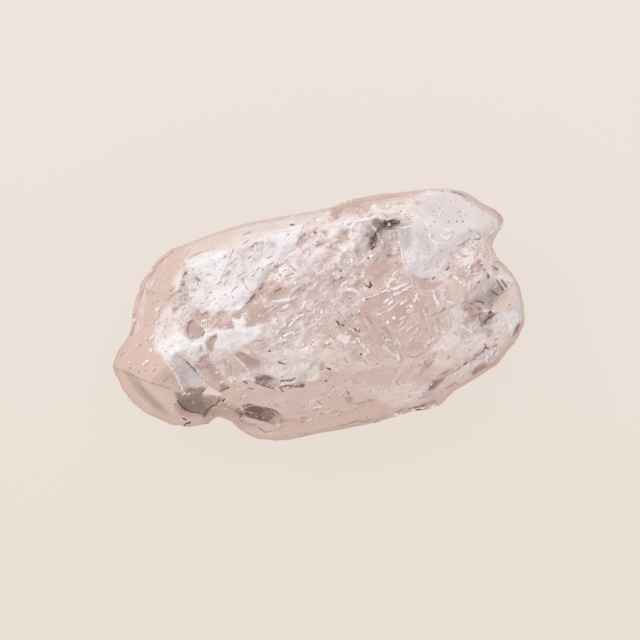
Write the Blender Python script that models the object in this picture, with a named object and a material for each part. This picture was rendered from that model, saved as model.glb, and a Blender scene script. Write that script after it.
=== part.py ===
# Rough morganite crystal of about 55 carats, lying on its flattest side.
# X runs along the stone from its pointed end to its broken end, and Z is up.
# The origin is on the surface that the stone rests on, under the middle of its box.
import math
import random

import bmesh
import bpy
from mathutils import Vector, noise
from mathutils.bvhtree import BVHTree

# Driving sizes, in metres, but FLAT_WITHIN in degrees
MM = 0.001
HEIGHT = 14.6 * MM
SKY = 60 * MM
LONGEST_EDGE = 1.6 * MM
RIPPLE = 0.06 * MM
RIPPLE_SIZE = 2.2 * MM
MERGE = 0.002 * MM
ON_PLANE = 0.001 * MM
FLAT_WITHIN = 0.5
SPLIT_ROUNDS = 4
RIPPLE_FROM = 0.2 * MM
SEED = 55
PIECE = "morganite_crystal"

# Corners of the widest outline seen from above, counter-clockwise, in mm.
# Each row has x, y, the height of the side that starts there, and the slopes
# of the faces above and below that side, in degrees from level.
RIM = [
    (12.4, -6.7, 5.4, 51, 56),
    (15.1, -3.6, 6.2, 62, 66),
    (15.15, 3.9, 6.8, 58, 66),
    (14.3, 5.3, 7.2, 52, 66),
    (11.7, 7.3, 8.4, 66, 74),
    (7.25, 7.95, 8.8, 73, 78),
    (-3.75, 7.95, 8.8, 71, 72),
    (-9.0, 7.4, 8.1, 67, 66),
    (-12.3, 5.8, 5.5, 76, 64),
    (-14.1, 2.8, 5.1, 78, 58),
    (-16.2, -0.4, 5.0, 78, 55),
    (-15.4, -3.4, 4.8, 72, 56),
    (-12.3, -6.2, 4.8, 49, 57),
    (-5.0, -8.75, 5.2, 54, 54),
    (6.5, -8.9, 5.3, 52, 56),
]

# Faces that close the top: the way each one leans in degrees from +X, its
# slope, and a point on it in mm.
CROWN = {
    "front of the top": (-96, 9, (0.0, 2.6, 14.5)),
    "back of the top": (86, 14, (0.0, 2.6, 14.5)),
    "pale face at the broken end": (24, 34, (6.9, 3.0, 14.0)),
    "split face at the broken end": (-24, 38, (8.8, -1.0, 13.3)),
    "front face under the ledge": (-106, 45, (-7.0, -0.6, 13.6)),
    "shoulder at the pointed end": (176, 26, (-12.3, 1.3, 11.0)),
    "clear face at the pointed end": (150, 64, (-14.2, 2.4, 6.0)),
    "tip face": (178, 50, (-16.15, -0.4, 5.3)),
    "lower face at the pointed end": (209, 66, (-16.15, -0.4, 5.3)),
}

# Faces that close the underside, in the same form, leaning down.
BELLY = {
    "behind the rest": (97, 38, (0.0, 4.9, 0.0)),
    "under the pointed end": (188, 38, (-10.4, 0.0, 0.0)),
    "under the broken end": (-8, 36, (10.6, 0.0, 0.0)),
    "front of the rest": (-84, 30, (0.0, -4.3, 0.0)),
}

# Notches that run right down the rim. Each is the corner between the faces
# listed: the way each leans, its slope, and a point on it in mm.
NOTCHES = {
    "beside the pointed end": [(-48, 78, (-10.0, -6.0, 5.0)), (-131, 66, (-8.3, -6.7, 5.0))],
    "in the broken end": [
        (-45, 80, (14.4, 2.9, 6.2)), (3, 84, (13.98, 1.7, 6.2)), (28, 78, (14.5, 0.2, 6.2)),
    ],
}

# Breaks and ledges in the top, as seen from above: the two ends in mm, the
# width and depth in mm, and how far the deepest line sits to the left of the
# middle, as a share of half the width.
LEDGES = {
    "step under the pale ledge": ((-12.2, -1.9), (-4.2, -2.7), 3.4, 1.1, -0.7),
    "hollow by the pointed end": ((-12.1, -4.1), (-9.2, -4.7), 2.0, 0.8, -0.5),
    "gully down to the notch": ((-10.0, -3.9), (-9.5, -7.0), 2.2, 1.2, 0.1),
    "shell break in the back edge": ((2.1, 7.1), (6.1, 7.2), 2.4, 0.75, -0.5),
    "left edge of the pale face": ((7.1, 5.6), (7.2, 0.8), 1.5, 0.45, -0.8),
    "foot of the pale face": ((6.6, 0.5), (9.8, 0.2), 2.2, 0.6, 0.8),
    "bend of the pale face": ((9.3, 0.2), (11.0, 2.0), 2.0, 0.6, 0.8),
    "step beyond the bend": ((10.4, 1.6), (13.1, 2.9), 1.6, 0.5, 0.8),
    "grey hollow": ((10.8, -0.7), (13.5, -1.9), 2.2, 0.7, -0.3),
    "foot of the white face": ((-8.9, 1.5), (-6.2, 1.1), 1.0, 0.3, 0.7),
    "middle foot of the white face": ((-6.6, 1.3), (-4.4, 1.9), 1.1, 0.3, 0.7),
    "slanting edge of the white face": ((-4.7, 1.7), (-2.0, 4.3), 0.8, 0.22, 0.8),
    "upper slanting edge": ((-2.4, 3.8), (0.6, 6.1), 0.8, 0.22, 0.8),
    "foot of the broken top": ((-4.8, -4.0), (1.4, -4.2), 1.4, 0.4, -0.6),
    "break in the middle": ((0.9, 1.0), (6.6, 2.6), 2.2, 0.5, 0.6),
    "break below the middle": ((-2.6, -1.6), (3.6, -0.4), 2.0, 0.45, -0.6),
    "broken lower right": ((8.0, -2.4), (12.4, -3.4), 2.4, 0.6, 0.6),
}

# Smaller clefts and flutes, in the same form.
CLEFTS = {
    "first flute": ((-11.0, -0.8), (-8.7, -3.9), 1.0, 0.45, 0.4),
    "second flute": ((-8.9, -1.0), (-8.2, -3.5), 0.8, 0.4, -0.4),
    "third flute": ((-7.5, -1.1), (-7.2, -3.3), 0.7, 0.35, 0.4),
    "fourth flute": ((-6.5, -1.2), (-5.8, -3.2), 0.9, 0.4, -0.3),
    "upper stained cleft": ((-6.0, -3.3), (-4.0, -4.7), 0.9, 0.7, 0.2),
    "tail of the upper cleft": ((-4.3, -4.2), (-2.0, -4.7), 0.6, 0.4, 0.0),
    "lower stained cleft": ((-7.7, -5.8), (-4.3, -6.9), 1.4, 0.9, 0.4),
    "round bay": ((-9.8, -0.2), (-8.8, 1.1), 1.2, 0.4, 0.0),
    "dark pit": ((5.2, 5.8), (7.2, 5.1), 0.9, 0.6, 0.2),
    "dark nick": ((4.4, 3.7), (5.7, 4.5), 0.7, 0.45, 0.0),
    "bright cleft": ((4.1, -1.8), (5.1, -4.8), 0.9, 0.5, 0.4),
    "second bright cleft": ((7.4, -1.0), (7.8, -3.2), 0.7, 0.35, 0.0),
    "edge of the end face": ((12.7, -2.2), (15.2, -0.6), 0.9, 0.45, -0.5),
    "flare in the end face": ((13.9, -2.2), (13.5, -4.8), 1.0, 0.4, 0.4),
    "first rim step": ((9.4, -6.1), (12.8, -5.0), 0.9, 0.35, 0.7),
    "second rim step": ((6.5, -7.3), (9.9, -5.9), 0.9, 0.35, 0.7),
    "third rim step": ((9.9, -7.0), (12.8, -5.9), 0.8, 0.3, 0.7),
    "curl at the back": ((8.9, 6.9), (10.5, 5.3), 0.9, 0.35, -0.6),
}

# Outline of the broken middle of the top, seen from above, in mm
BROKEN = [
    (-4.6, -3.9), (2.0, -4.2), (7.0, -5.0), (11.5, -5.2), (13.6, -4.0), (14.5, 0.0), (13.5, 2.6),
    (11.0, 2.0), (9.6, 0.3), (7.0, 1.0), (6.6, 6.2), (2.0, 6.4), (0.6, 5.4), (-3.5, 1.2),
]

# Scattered chips: how many, and the ranges of length, width and depth in mm
CHIPS = {
    "top": (90, (1.2, 3.2), (0.8, 1.9), (0.16, 0.4)),
    "around": (80, (1.6, 5.0), (1.0, 2.8), (0.25, 0.7)),
}
# Chips around the sides are met by rays from a line inside the stone, which
# reaches this far to each side of the middle, at angles in degrees from straight
# up. They stay above a lowest height and short of the pointed end, and only
# where the upward part of the surface's normal is less than STEEP.
CHIP_LINE = 9 * MM
CHIP_ANGLES = (92, 165)
LOWEST_CHIP = 1.2 * MM
END_OF_CHIPS = -12.5 * MM
STEEP = 0.4

# Shape of one cut, in shares of its length, width or depth
HULL = {
    "overrun": 0.2,
    "waist": 0.34,
    "rise": 1.2,
    "half width": 1.1,
    "keel": 0.5,
    "ragged": 0.2,
    "ragged in depth": 0.2,
    "chip lean": 0.7,
}

SKIN = {"color": (0.80, 0.60, 0.55, 1.0), "roughness": 0.12, "metallic": 0.0}


def clear_scene():
    for obj in list(bpy.data.objects):
        bpy.data.objects.remove(obj, do_unlink=True)


def leaning(azimuth, slope, up=1):
    flat = math.sin(math.radians(slope))
    turn = math.radians(azimuth)
    return Vector((flat * math.cos(turn), flat * math.sin(turn), up * math.cos(math.radians(slope))))


def rim_planes():
    for k, (x, y, height, rise, fall) in enumerate(RIM):
        next_x, next_y = RIM[(k + 1) % len(RIM)][:2]
        azimuth = math.degrees(math.atan2(x - next_x, next_y - y))
        point = Vector((x, y, height)) * MM
        yield point, leaning(azimuth, rise)
        yield point, leaning(azimuth, fall, up=-1)


def closing_planes():
    for azimuth, slope, point in CROWN.values():
        yield Vector(point) * MM, leaning(azimuth, slope)
    for azimuth, slope, point in BELLY.values():
        yield Vector(point) * MM, leaning(azimuth, slope, up=-1)
    yield Vector((0, 0, HEIGHT)), Vector((0, 0, 1))
    yield Vector((0, 0, 0)), Vector((0, 0, -1))


def block(planes):
    bm = bmesh.new()
    bmesh.ops.create_cube(bm, size=SKY)
    for point, normal in planes:
        cut = bmesh.ops.bisect_plane(
            bm, geom=bm.verts[:] + bm.edges[:] + bm.faces[:], dist=ON_PLANE,
            plane_co=point, plane_no=normal, clear_outer=True,
        )
        edges = [e for e in cut["geom_cut"] if isinstance(e, bmesh.types.BMEdge)]
        if edges:
            bmesh.ops.contextual_create(bm, geom=edges)
    bmesh.ops.recalc_face_normals(bm, faces=bm.faces)
    return bm


def new_object(name, bm):
    mesh = bpy.data.meshes.new(name)
    bm.to_mesh(mesh)
    bm.free()
    obj = bpy.data.objects.new(name, mesh)
    bpy.context.collection.objects.link(obj)
    return obj


def take_away(stone, cutters):
    for cutter in cutters:
        cutter.hide_render = True
        cutter.display_type = "WIRE"
        cut = stone.modifiers.new(cutter.name, "BOOLEAN")
        cut.operation = "DIFFERENCE"
        cut.solver = "EXACT"
        cut.object = cutter
    graph = bpy.context.evaluated_depsgraph_get()
    shaped = bpy.data.meshes.new_from_object(stone.evaluated_get(graph))
    stone.modifiers.clear()
    stone.data = shaped
    for cutter in cutters:
        bpy.data.objects.remove(cutter, do_unlink=True)


def skin_of(stone):
    bm = bmesh.new()
    bm.from_mesh(stone.data)
    tree = BVHTree.FromBMesh(bm)
    bm.free()
    return tree


def seen_from_above(tree, x, y):
    spot, normal = tree.ray_cast(Vector((x * MM, y * MM, SKY)), Vector((0, 0, -1)))[:2]
    return spot, normal


def gouge(start, end, normal, width, depth, lean, rng):
    # A cut like the hull of a boat: pointed at both ends, deepest along a keel,
    # with every corner a little out of place
    along = end - start
    across = normal.cross(along).normalized()
    middle = (start + end) / 2
    lift = normal * HULL["rise"] * depth
    wide = across * width * HULL["half width"]
    keel = across * width * HULL["keel"] * lean - normal * depth
    overrun = along * HULL["overrun"]
    corners = [start + lift - overrun, end + lift + overrun]
    for share in (-HULL["waist"], HULL["waist"]):
        rib = middle + along * share
        corners += [rib + lift + wide, rib + lift - wide, rib + keel]
    bm = bmesh.new()
    verts = []
    for corner in corners:
        stray = Vector([rng.uniform(-1, 1) for _ in range(3)])
        stray -= normal * stray.dot(normal) * (1 - HULL["ragged in depth"])
        verts.append(bm.verts.new(corner + stray * width * HULL["ragged"]))
    bmesh.ops.convex_hull(bm, input=verts)
    bmesh.ops.recalc_face_normals(bm, faces=bm.faces)
    return new_object("cut", bm)


def placed_cuts(tree, rows, rng):
    cuts = []
    for (ax, ay), (bx, by), width, depth, lean in rows:
        ends = [seen_from_above(tree, ax, ay), seen_from_above(tree, bx, by)]
        middle, normal = seen_from_above(tree, (ax + bx) / 2, (ay + by) / 2)
        spots = []
        for (spot, _), x, y in zip(ends, (ax, bx), (ay, by)):
            spots.append(spot if spot else Vector((x * MM, y * MM, middle.z)))
        cuts.append(gouge(spots[0], spots[1], normal, width * MM, depth * MM, lean, rng))
    return cuts


def inside(x, y, outline):
    crossings = 0
    for (ax, ay), (bx, by) in zip(outline, outline[1:] + outline[:1]):
        if (ay > y) != (by > y) and x < ax + (y - ay) * (bx - ax) / (by - ay):
            crossings += 1
    return crossings % 2 == 1


def broken_spot(tree, rng):
    x = rng.uniform(min(p[0] for p in BROKEN), max(p[0] for p in BROKEN))
    y = rng.uniform(min(p[1] for p in BROKEN), max(p[1] for p in BROKEN))
    return seen_from_above(tree, x, y) if inside(x, y, BROKEN) else (None, None)


def outer_spot(tree, rng):
    core = Vector((rng.uniform(-CHIP_LINE, CHIP_LINE), 0, HEIGHT / 2))
    spot, normal = tree.ray_cast(core, leaning(rng.uniform(0, 360), rng.uniform(*CHIP_ANGLES)))[:2]
    clear = spot and spot.z > LOWEST_CHIP and spot.x > END_OF_CHIPS and normal.z < STEEP
    return (spot, normal) if clear else (None, None)


def scattered_cuts(tree, kind, rng):
    count, lengths, widths, depths = CHIPS[kind]
    cuts = []
    while len(cuts) < count:
        spot, normal = broken_spot(tree, rng) if kind == "top" else outer_spot(tree, rng)
        if not spot:
            continue
        side = normal.orthogonal().normalized()
        turn = rng.uniform(0, math.tau)
        way = side * math.cos(turn) + normal.cross(side) * math.sin(turn)
        along = way * rng.uniform(*lengths) * MM / 2
        width = rng.uniform(*widths) * MM
        depth = rng.uniform(*depths) * MM
        lean = rng.uniform(-HULL["chip lean"], HULL["chip lean"])
        cuts.append(gouge(spot - along, spot + along, normal, width, depth, lean, rng))
    return cuts


def whole(bm):
    # Keeps the stone and drops any crumb that a cut has set loose
    bodies = []
    left = set(bm.verts)
    while left:
        body = {left.pop()}
        edge = list(body)
        while edge:
            near = {e.other_vert(v) for v in edge for e in v.link_edges} - body
            body |= near
            edge = list(near)
        left -= body
        bodies.append(body)
    bodies.sort(key=len)
    crumbs = [v for body in bodies[:-1] for v in body]
    bmesh.ops.delete(bm, geom=crumbs, context="VERTS")


def centre(bm):
    # Brings the middle of the box over the origin
    middle = [sum(f(v.co[k] for v in bm.verts) for f in (min, max)) / 2 for k in (0, 1)]
    bmesh.ops.translate(bm, verts=bm.verts, vec=(-middle[0], -middle[1], 0))
    print("moved by mm", -middle[0] / MM, -middle[1] / MM)


def etched(mesh):
    # Even triangles, then a low ripple that leaves the resting face flat
    bm = bmesh.new()
    bm.from_mesh(mesh)
    whole(bm)
    bmesh.ops.remove_doubles(bm, verts=bm.verts, dist=MERGE)
    bmesh.ops.dissolve_limit(bm, angle_limit=math.radians(FLAT_WITHIN), verts=bm.verts, edges=bm.edges)
    bmesh.ops.triangulate(bm, faces=bm.faces)
    for _ in range(SPLIT_ROUNDS):
        long_edges = [e for e in bm.edges if e.calc_length() > LONGEST_EDGE]
        bmesh.ops.subdivide_edges(bm, edges=long_edges, cuts=1)
        bmesh.ops.triangulate(bm, faces=bm.faces)
    bm.normal_update()
    for vert in bm.verts:
        if vert.co.z > RIPPLE_FROM:
            vert.co += vert.normal * RIPPLE * noise.noise(vert.co / RIPPLE_SIZE)
    centre(bm)
    print("volume mm3", bm.calc_volume() / MM ** 3, "faces", len(bm.faces))
    bm.to_mesh(mesh)
    bm.free()


def material():
    mat = bpy.data.materials.new("morganite")
    mat.use_nodes = True
    shader = mat.node_tree.nodes["Principled BSDF"]
    shader.inputs["Base Color"].default_value = SKIN["color"]
    shader.inputs["Roughness"].default_value = SKIN["roughness"]
    shader.inputs["Metallic"].default_value = SKIN["metallic"]
    return mat


def main():
    clear_scene()
    rng = random.Random(SEED)
    stone = new_object(PIECE, block([*rim_planes(), *closing_planes()]))
    notches = []
    for name, faces in NOTCHES.items():
        notches.append(new_object(name, block([(Vector(p) * MM, -leaning(a, s)) for a, s, p in faces])))
    take_away(stone, notches)
    take_away(stone, placed_cuts(skin_of(stone), LEDGES.values(), rng))
    take_away(stone, scattered_cuts(skin_of(stone), "around", rng))
    take_away(stone, scattered_cuts(skin_of(stone), "top", rng))
    take_away(stone, placed_cuts(skin_of(stone), CLEFTS.values(), rng))
    etched(stone.data)
    stone.data.materials.clear()
    stone.data.materials.append(material())


main()
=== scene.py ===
import math
import random

import bpy
import numpy as np
from mathutils import Matrix, Vector
from mathutils.bvhtree import BVHTree


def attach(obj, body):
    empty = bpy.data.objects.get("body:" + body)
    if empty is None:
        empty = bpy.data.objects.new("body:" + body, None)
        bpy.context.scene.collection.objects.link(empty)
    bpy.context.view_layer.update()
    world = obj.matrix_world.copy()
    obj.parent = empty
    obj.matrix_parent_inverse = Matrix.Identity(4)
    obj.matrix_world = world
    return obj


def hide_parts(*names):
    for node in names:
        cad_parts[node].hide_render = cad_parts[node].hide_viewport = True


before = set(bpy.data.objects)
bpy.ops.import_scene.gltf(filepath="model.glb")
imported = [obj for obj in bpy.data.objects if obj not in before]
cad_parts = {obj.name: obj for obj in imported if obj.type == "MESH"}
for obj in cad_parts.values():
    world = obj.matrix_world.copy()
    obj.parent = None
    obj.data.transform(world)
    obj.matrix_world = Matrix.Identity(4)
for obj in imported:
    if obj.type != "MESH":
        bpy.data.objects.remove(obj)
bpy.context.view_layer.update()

mm = 0.001
print("frame loaded")

# The stone is drawn on a plan in millimetres, seen from above, with X along the stone.
plan = {
    "middle": (0.454, 0.448),           # the plan's zero in the frame, mm
    "turn": 12.5,                       # how far the picture is turned against the plan, degrees
    "pictureSide": 48.0,                # what the picture takes in, mm
    "pictureMiddle": (-0.081, -0.366),  # the plan's point at the middle of the picture, mm
}

# The stone's outline seen from above, counter-clockwise from the notch in its broken end
outline = [
    (13.95, 2.5), (14.3, 2.9), (14.75, 3.3), (15.05, 4.0), (14.75, 4.64), (14.25, 5.22), (13.75, 5.52),
    (13.25, 6.1), (12.75, 6.6), (12.25, 6.88), (11.6, 7.22), (10.25, 7.46), (8.75, 7.64), (6.5, 7.88),
    (4.25, 7.94), (2.6, 7.7), (1.25, 7.68), (-1.5, 7.84), (-4.25, 7.9), (-6.75, 7.7), (-8.75, 7.36),
    (-9.8, 7.28), (-10.75, 6.84), (-11.75, 6.08), (-12.75, 5.12), (-13.25, 4.3), (-13.75, 3.42),
    (-14.0, 2.5), (-14.3, 1.9), (-14.75, 1.32), (-15.5, 0.68), (-16.08, -0.15), (-16.1, -0.8),
    (-15.75, -2.36), (-15.25, -3.44), (-14.5, -4.4), (-13.5, -5.15), (-12.5, -5.86), (-11.5, -6.15),
    (-10.6, -6.15), (-10.1, -5.9), (-9.8, -5.66), (-9.55, -5.84), (-8.95, -5.98), (-8.3, -6.44),
    (-7.85, -7.1), (-7.25, -7.64), (-6.5, -8.2), (-5.25, -8.54), (-4.25, -8.68), (0.25, -8.76),
    (2.4, -8.84), (4.25, -8.7), (5.25, -8.64), (6.6, -8.74), (7.5, -8.58), (8.2, -8.08), (9.25, -7.64),
    (11.25, -7.0), (12.3, -6.54), (13.0, -5.9), (13.9, -5.26), (14.6, -4.5), (15.0, -3.7), (15.12, -2.4),
    (15.1, -1.0), (14.9, -0.2), (14.55, 0.5), (14.1, 1.05), (13.95, 1.8),
]


def smooth(low, high, value):
    t = np.clip((value - low) / (high - low), 0, 1)
    return t * t * (3 - 2 * t)


def hashed(cells, salt):
    # one number from 0 to 1 for each cell of a grid
    h = cells[..., 0] * 73856093 ^ cells[..., 1] * 19349663 ^ cells[..., 2] * 83492791
    h = (h ^ salt * 2654435761) & 0xFFFFFFFF
    h = ((h ^ h >> 15) * 2246822519) & 0xFFFFFFFF
    h = ((h ^ h >> 13) * 3266489917) & 0xFFFFFFFF
    h ^= h >> 16
    return (h & 0xFFFFFF) / 0xFFFFFF


def swell(points, size, salt):
    # soft lumps from -1 to 1
    q = points / size
    cell = np.floor(q).astype(np.int64)
    f = q - cell
    f = f * f * (3 - 2 * f)
    total = np.zeros(len(points))
    for corner in range(8):
        step = np.array([corner & 1, corner >> 1 & 1, corner >> 2 & 1])
        share = np.prod(np.where(step, f, 1 - f), axis=1)
        total += share * hashed(cell + step, salt)
    return total * 2 - 1


def breaks(points, size, tilt, drop, salt):
    # small tilted faces with steps between them, as on a hackly break
    q = points / size
    cell = np.floor(q).astype(np.int64)
    nearest = np.full(len(points), np.inf)
    height = np.zeros(len(points))
    for code in range(27):
        c = cell + np.array([code % 3 - 1, code // 3 % 3 - 1, code // 9 - 1])
        spot = np.stack([hashed(c, salt + k) for k in range(3)], axis=1)
        lean = np.stack([hashed(c, salt + 3 + k) for k in range(3)], axis=1) * 2 - 1
        away = q - c - spot
        far = np.einsum("ij,ij->i", away, away)
        here = np.einsum("ij,ij->i", away, lean) * tilt * size
        here += (hashed(c, salt + 6) * 2 - 1) * drop
        closer = far < nearest
        nearest = np.where(closer, far, nearest)
        height = np.where(closer, here, height)
    return height


def combed(points, degrees, stretch):
    # the points turned so that X runs along the grain, and drawn together along it
    a = math.radians(degrees)
    x = points[:, 0] * math.cos(a) + points[:, 1] * math.sin(a)
    y = -points[:, 0] * math.sin(a) + points[:, 1] * math.cos(a)
    return np.stack([x / stretch, y, points[:, 2]], axis=1)


def depthIn(shape, x, y):
    # distance in mm to the edge of a shape on the plan, above zero inside it
    nearest = np.full(len(x), np.inf)
    inside = np.zeros(len(x), bool)
    for (ax, ay), (bx, by) in zip(shape, shape[1:] + shape[:1]):
        dx, dy = bx - ax, by - ay
        t = np.clip(((x - ax) * dx + (y - ay) * dy) / (dx * dx + dy * dy), 0, 1)
        nearest = np.minimum(nearest, np.hypot(x - ax - dx * t, y - ay - dy * t))
        if ay != by:
            crosses = (ay > y) != (by > y)
            inside ^= crosses & (x < dx * (y - ay) / (by - ay) + ax)
    return np.where(inside, nearest, -nearest)


def isIn(shape, x, y):
    return depthIn(shape, np.array([x]), np.array([y]))[0] > 0


def onPlan(place):
    return place[:, 0] - plan["middle"][0], place[:, 1] - plan["middle"][1]


def pointsOf(mesh):
    # where each point is, in mm, and which way it faces
    place = np.zeros(len(mesh.vertices) * 3)
    mesh.vertices.foreach_get("co", place)
    way = np.zeros(len(mesh.vertices) * 3)
    mesh.vertices.foreach_get("normal", way)
    return place.reshape(-1, 3) / mm, way.reshape(-1, 3)


def setPoints(mesh, place):
    mesh.vertices.foreach_set("co", (place * mm).ravel())
    mesh.update()


def store(mesh, name, kind, values):
    attribute = mesh.attributes.new(name, kind, "POINT")
    part = {"FLOAT": "value", "FLOAT_VECTOR": "vector", "FLOAT_COLOR": "color"}[kind]
    attribute.data.foreach_set(part, values.astype(np.float32).ravel())


body = {
    "voxel": 0.15,            # mm between the points of the stone's mesh
    "sharpEdge": 34,          # degrees
    "relaxRounds": 3,
    "restingBelow": 0.02,     # mm, points under this height stay on the resting face
    "rimSteps": 720,          # directions in which the outline is fitted
    "fitFrom": 0.55,          # share of the way out from which the outline is fitted
    "fitWhole": 0.97,         # and from which it is fitted in full
    "fitMost": (0.94, 1.07),
}


def stoneMesh():
    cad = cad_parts["morganite_crystal"]
    piece = bpy.data.objects.new("crystal", cad.data.copy())
    bpy.context.scene.collection.objects.link(piece)
    remesh = piece.modifiers.new("even", "REMESH")
    remesh.mode = "VOXEL"
    remesh.voxel_size = body["voxel"] * mm
    graph = bpy.context.evaluated_depsgraph_get()
    even = bpy.data.meshes.new_from_object(piece.evaluated_get(graph))
    piece.modifiers.clear()
    piece.data = even
    skin = BVHTree.FromObject(cad, graph)
    for v in even.vertices:
        v.co = skin.find_nearest(v.co)[0]
    even.update()
    setPoints(even, relaxed(even, pointsOf(even)[0], body["relaxRounds"]))
    print("stone mesh:", len(even.vertices), "points,", len(even.polygons), "faces")
    return piece


def relaxed(mesh, place, rounds):
    # rounds off the smallest steps: each point moves halfway to the middle of its neighbours
    ends = np.zeros(len(mesh.edges) * 2, int)
    mesh.edges.foreach_get("vertices", ends)
    ends = ends.reshape(-1, 2)
    both, other = ends.ravel(), ends[:, ::-1].ravel()
    count = np.bincount(both)
    resting = place[:, 2] < body["restingBelow"]
    for _ in range(rounds):
        middle = np.stack([np.bincount(both, place[other, k]) / count for k in range(3)], axis=1)
        place = (place + middle) / 2
        place[resting, 2] = 0
    return place


def fitOutline(place):
    # the rim of the mesh is drawn in or out to the outline on the plan
    steps = body["rimSteps"]
    angles = np.arange(steps) / steps * 2 * math.pi - math.pi
    x, y = onPlan(place)
    radius = np.hypot(x, y)
    index = np.round((np.arctan2(y, x) + math.pi) / (2 * math.pi) * steps).astype(int) % steps
    most = np.zeros(steps)
    np.maximum.at(most, index, radius)
    found = np.max([np.roll(most, k) for k in (-1, 0, 1)], axis=0)
    wanted = np.zeros(steps)
    tiny = 1e-9
    for (ax, ay), (bx, by) in zip(outline, outline[1:] + outline[:1]):
        dx, dy = bx - ax, by - ay
        cross = np.cos(angles) * dy - np.sin(angles) * dx
        far = (ax * dy - ay * dx) / np.where(abs(cross) < tiny, tiny, cross)
        along = (far * np.cos(angles) - ax) * dx + (far * np.sin(angles) - ay) * dy
        along /= dx * dx + dy * dy
        wanted = np.where((far > 0) & (along >= 0) & (along <= 1), np.maximum(wanted, far), wanted)
    ratio = np.clip(wanted / found, *body["fitMost"])
    soft = sum(np.roll(ratio, k) for k in (-2, -1, 0, 1, 2)) / 5
    share = smooth(body["fitFrom"], body["fitWhole"], radius / found[index])
    scale = 1 + (soft[index] - 1) * share
    print("outline fitted: from", round(ratio.min(), 3), "to", round(ratio.max(), 3))
    fitted = place.copy()
    fitted[:, 0] = x * scale + plan["middle"][0]
    fitted[:, 1] = y * scale + plan["middle"][1]
    return fitted


# The grain that small breaks and marks run along, in degrees, and the areas on the plan where it turns
grain = {
    "leftAngle": 27,      # on the left and at the back
    "middleAngle": -60,   # in the lower middle
    "burstAngle": 22,     # in the white burst right of the middle
    "stretch": 4.0,       # how much longer than wide the grain's lines are
    "middleArea": [(0.6, -0.3), (4.6, 0.0), (5.4, -4.8), (0.6, -4.3), (0.3, -2.0)],
    "burstArea": [(4.3, 1.4), (7.4, 1.2), (7.6, -4.2), (5.4, -4.4), (4.3, -1.0)],
    "quietArea": [(-14.5, 1.2), (-9.4, 3.6), (-9.2, 6.9), (-12.5, 5.4)],
}


def angleAt(x, y):
    if isIn(grain["middleArea"], x, y):
        return grain["middleAngle"]
    if isIn(grain["burstArea"], x, y):
        return grain["burstAngle"]
    return grain["leftAngle"]


# What a patch of the surface is like: how much of it a thin frosty veil hides, from 0 to 1, the colour
# of that veil, the colour that light takes on where it is clear, and how far it is etched, 0 to 1
finishes = {
    "clear": (0.12, (0.71, 0.54, 0.475), (1.00, 1.00, 1.00), 0.2),
    "silk": (0.62, (0.75, 0.555, 0.48), (1.00, 0.96, 0.94), 0.0),
    "blush": (0.55, (0.79, 0.57, 0.49), (0.95, 0.90, 0.87), 0.1),
    "flesh": (0.35, (0.84, 0.66, 0.58), (1.00, 0.95, 0.92), 0.2),
    "rosy": (0.28, (0.76, 0.56, 0.51), (0.90, 0.84, 0.83), 0.45),
    "deep": (0.42, (0.56, 0.36, 0.31), (0.75, 0.65, 0.62), 0.45),
    "streaky": (0.44, (0.91, 0.82, 0.80), (0.97, 0.94, 0.945), 0.7),
    "pale": (0.54, (0.90, 0.80, 0.78), (1.00, 0.98, 0.98), 0.6),
    "lilac": (0.66, (0.84, 0.79, 0.795), (0.97, 0.95, 0.99), 0.3),
    "frosted": (0.82, (0.90, 0.82, 0.835), (1.00, 0.98, 1.00), 0.9),
    "white": (1.10, (1.00, 0.97, 0.985), (1.00, 1.00, 1.00), 1.0),
    "ivory": (0.80, (0.93, 0.77, 0.69), (1.00, 0.95, 0.90), 0.2),
    "cream": (1.00, (1.00, 0.91, 0.77), (1.00, 0.95, 0.86), 0.5),
    "beige": (0.75, (0.55, 0.40, 0.31), (0.86, 0.78, 0.70), 0.3),
    "sand": (0.60, (0.80, 0.69, 0.62), (0.95, 0.91, 0.85), 0.3),
    "mist": (0.55, (0.73, 0.65, 0.63), (0.88, 0.85, 0.84), 0.4),
    "grey": (0.80, (0.34, 0.265, 0.23), (0.60, 0.53, 0.50), 0.3),
    "smoke": (0.90, (0.08, 0.062, 0.055), (0.35, 0.32, 0.31), 0.5),
    "olive": (0.90, (0.26, 0.18, 0.10), (0.58, 0.48, 0.35), 0.4),
    "brown": (1.00, (0.12, 0.078, 0.045), (0.36, 0.26, 0.20), 0.4),
}

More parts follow.
